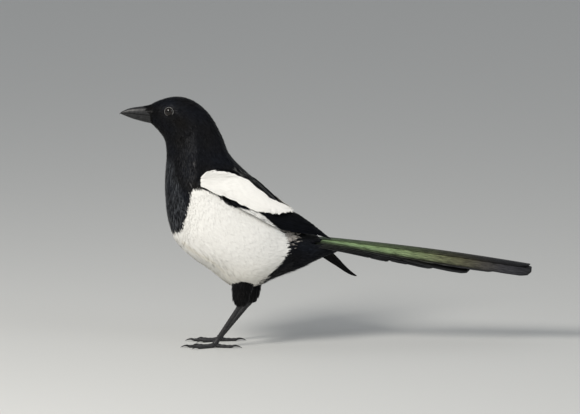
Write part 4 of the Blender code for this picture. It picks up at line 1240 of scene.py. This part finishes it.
def build_shank(word, ankle, joint, down, material):
    """A shank from the ankle to the joint of the toes, stepped by its scutes."""
    rows = [(*ankle, 2.5), (*(ankle + down * 3.0), 2.95)]
    for i in range(SCUTES):
        for share, more in SCUTE_PROFILE:
            p = ankle.lerp(joint, 0.12 + 0.76 * (i + share) / SCUTES)
            rows.append((*p, TARSUS_RADIUS + more))
    rows += [(*(joint - down * 2.6), 2.7), (*(joint - down * 0.5), 2.9)]
    mesh_piece(f"shank_{word}", *smooth_tube(rows, 20, 3), material, "leg_skin", (f"tarsus_{word}",))


def build_legs(skin_material, horn_material):
    """Shanks, toes and claws; each foot's toes are one piece."""
    for side, word in WORDS.items():
        joint = Vector((FOOT_JOINTS[side][0], side * STANCE, FOOT_JOINTS[side][1]))
        ankle = Vector((ANKLES[side][0], side * STANCE, ANKLES[side][1] + ANKLE_RISE))
        down = (joint - ankle).normalized()
        build_shank(word, ankle, joint, down, skin_material)
        heel = [(*(joint + down * run), radius) for run, radius in HEEL_PROFILE]
        parts = [smooth_tube(heel, 20, 4, True)]
        for toe, (turn, length, thick, claw) in TOES.items():
            a = math.radians(turn)
            ahead = Vector((-math.cos(a), side * math.sin(a), 0.0))
            radius = thick / 2
            rows = []
            for share, z, swell in TOE_PROFILE:
                p = joint + ahead * (length * share)
                rows.append((p.x, p.y, z if share == 0 else z * radius / 1.65, radius * swell))
            fine = []
            for t in np.linspace(0, len(rows) - 1, 31):
                row = catmull(np.array(rows), np.array((t,)))[0]
                fine.append((*row[:3], row[3] * (1.04 if round(t * 5) % 2 else 0.97)))
            parts.append(smooth_tube(fine, 18, 2, True))
            start, base, thick_end = joint + ahead * (length - 0.4), rows[-1][2], rows[-1][3] * 0.92
            claw_rows = []
            for share, rise, slim in CLAW_PROFILE:
                p = start + ahead * ((claw + 0.7) * share)
                z = base + rise * (base - 0.45) * (1.0 if rise < 0 else 1.3)
                claw_rows.append((p.x, p.y, z, thick_end * slim))
            mesh_piece(f"nail_{toe}_{word}", *smooth_tube(claw_rows, 16, 6, True), horn_material, "horn",
                       (f"claw_{toe}_{word}",))
        points, faces = [], []
        for more, extra in parts:
            faces += [tuple(i + len(points) for i in face) for face in extra]
            points += [tuple(p) for p in more]
        mesh_piece(f"toes_{word}", points, faces, skin_material, "leg_skin", (f"foot_{word}",))


def put(name, data, at, towards):
    """A lamp or camera at a place in metres, turned to look the way given."""
    made = bpy.data.objects.new(name, data)
    made.location = at
    made.rotation_euler = Vector(towards).to_track_quat("-Z", "Y").to_euler()
    bpy.context.scene.collection.objects.link(made)
    return made


def build_stage():
    """The floor, the sky's light, two lamps and the camera."""
    mesh = bpy.data.meshes.new("floor")
    mesh.from_pydata([(x * FLOOR, y * FLOOR, 0) for x, y in ((-1, -1), (1, -1), (1, 1), (-1, 1))],
                     [], [(0, 1, 2, 3)])
    floor = bpy.data.objects.new("floor", mesh)
    bpy.context.scene.collection.objects.link(floor)
    pale, tree, shader = start_material("pale_floor")
    feed(tree, shader, {"Base Color": (0.62, 0.62, 0.60, 1.0), "Roughness": 0.9})
    mesh.materials.append(pale)
    world = bpy.data.worlds.new("studio")
    bpy.context.scene.world = world
    world.use_nodes = True
    sky = world.node_tree.nodes["Background"]
    feed(world.node_tree, sky, {"Color": (0.93, 0.96, 1.0, 1.0), "Strength": 0.42})
    for name, at, size, power, colour in LAMPS:
        light = bpy.data.lights.new(name, "AREA")
        light.size, light.energy, light.color = size, power, colour
        put(name, light, at, Vector(LAMPS_AIM) - Vector(at))
    camera = bpy.data.cameras.new("camera")
    camera.lens, camera.sensor_width, camera.clip_end = 372.0, 36.0, 50.0
    away = Vector((0.0, -math.cos(VIEW_RISE), math.sin(VIEW_RISE))) * CAMERA_AWAY
    bpy.context.scene.camera = put("camera", camera, Vector(CAMERA_AIM) + away, -away)
    bpy.context.scene.view_settings.view_transform = "Standard"


build_stage()
PLUMAGE = plumage_material("plumage")
WING_VANES = vane_material("wing_vanes", 0.0, 0.07)
TAIL_VANES = vane_material("tail_vanes", 0.35, 0.15)
HORN = hard_material("horn_black", (0.006, 0.006, 0.0065), (0.024, 0.024, 0.025), 0.38, 420.0, 0.5)
SCALY = hard_material("scaly_skin", (0.011, 0.011, 0.012), (0.034, 0.033, 0.034), 0.48, 500.0, 0.5)
# The lids' pale colour is a painted highlight: the reflection along the lid's edge.
LID_HIGHLIGHT = hard_material("lid_highlight", (0.16, 0.16, 0.155), (0.30, 0.29, 0.28), 0.5, 900.0, 0.4)
build_skin(PLUMAGE)
build_body_coat(PLUMAGE)
build_thigh_coat(PLUMAGE)
for side in (LEFT, RIGHT):
    build_wing(side, WING_VANES)
    build_wing_coat(side, PLUMAGE)
build_tail(TAIL_VANES)
build_bill(HORN)
build_bristles(PLUMAGE)
build_eyes(LID_HIGHLIGHT)
build_legs(SCALY, HORN)
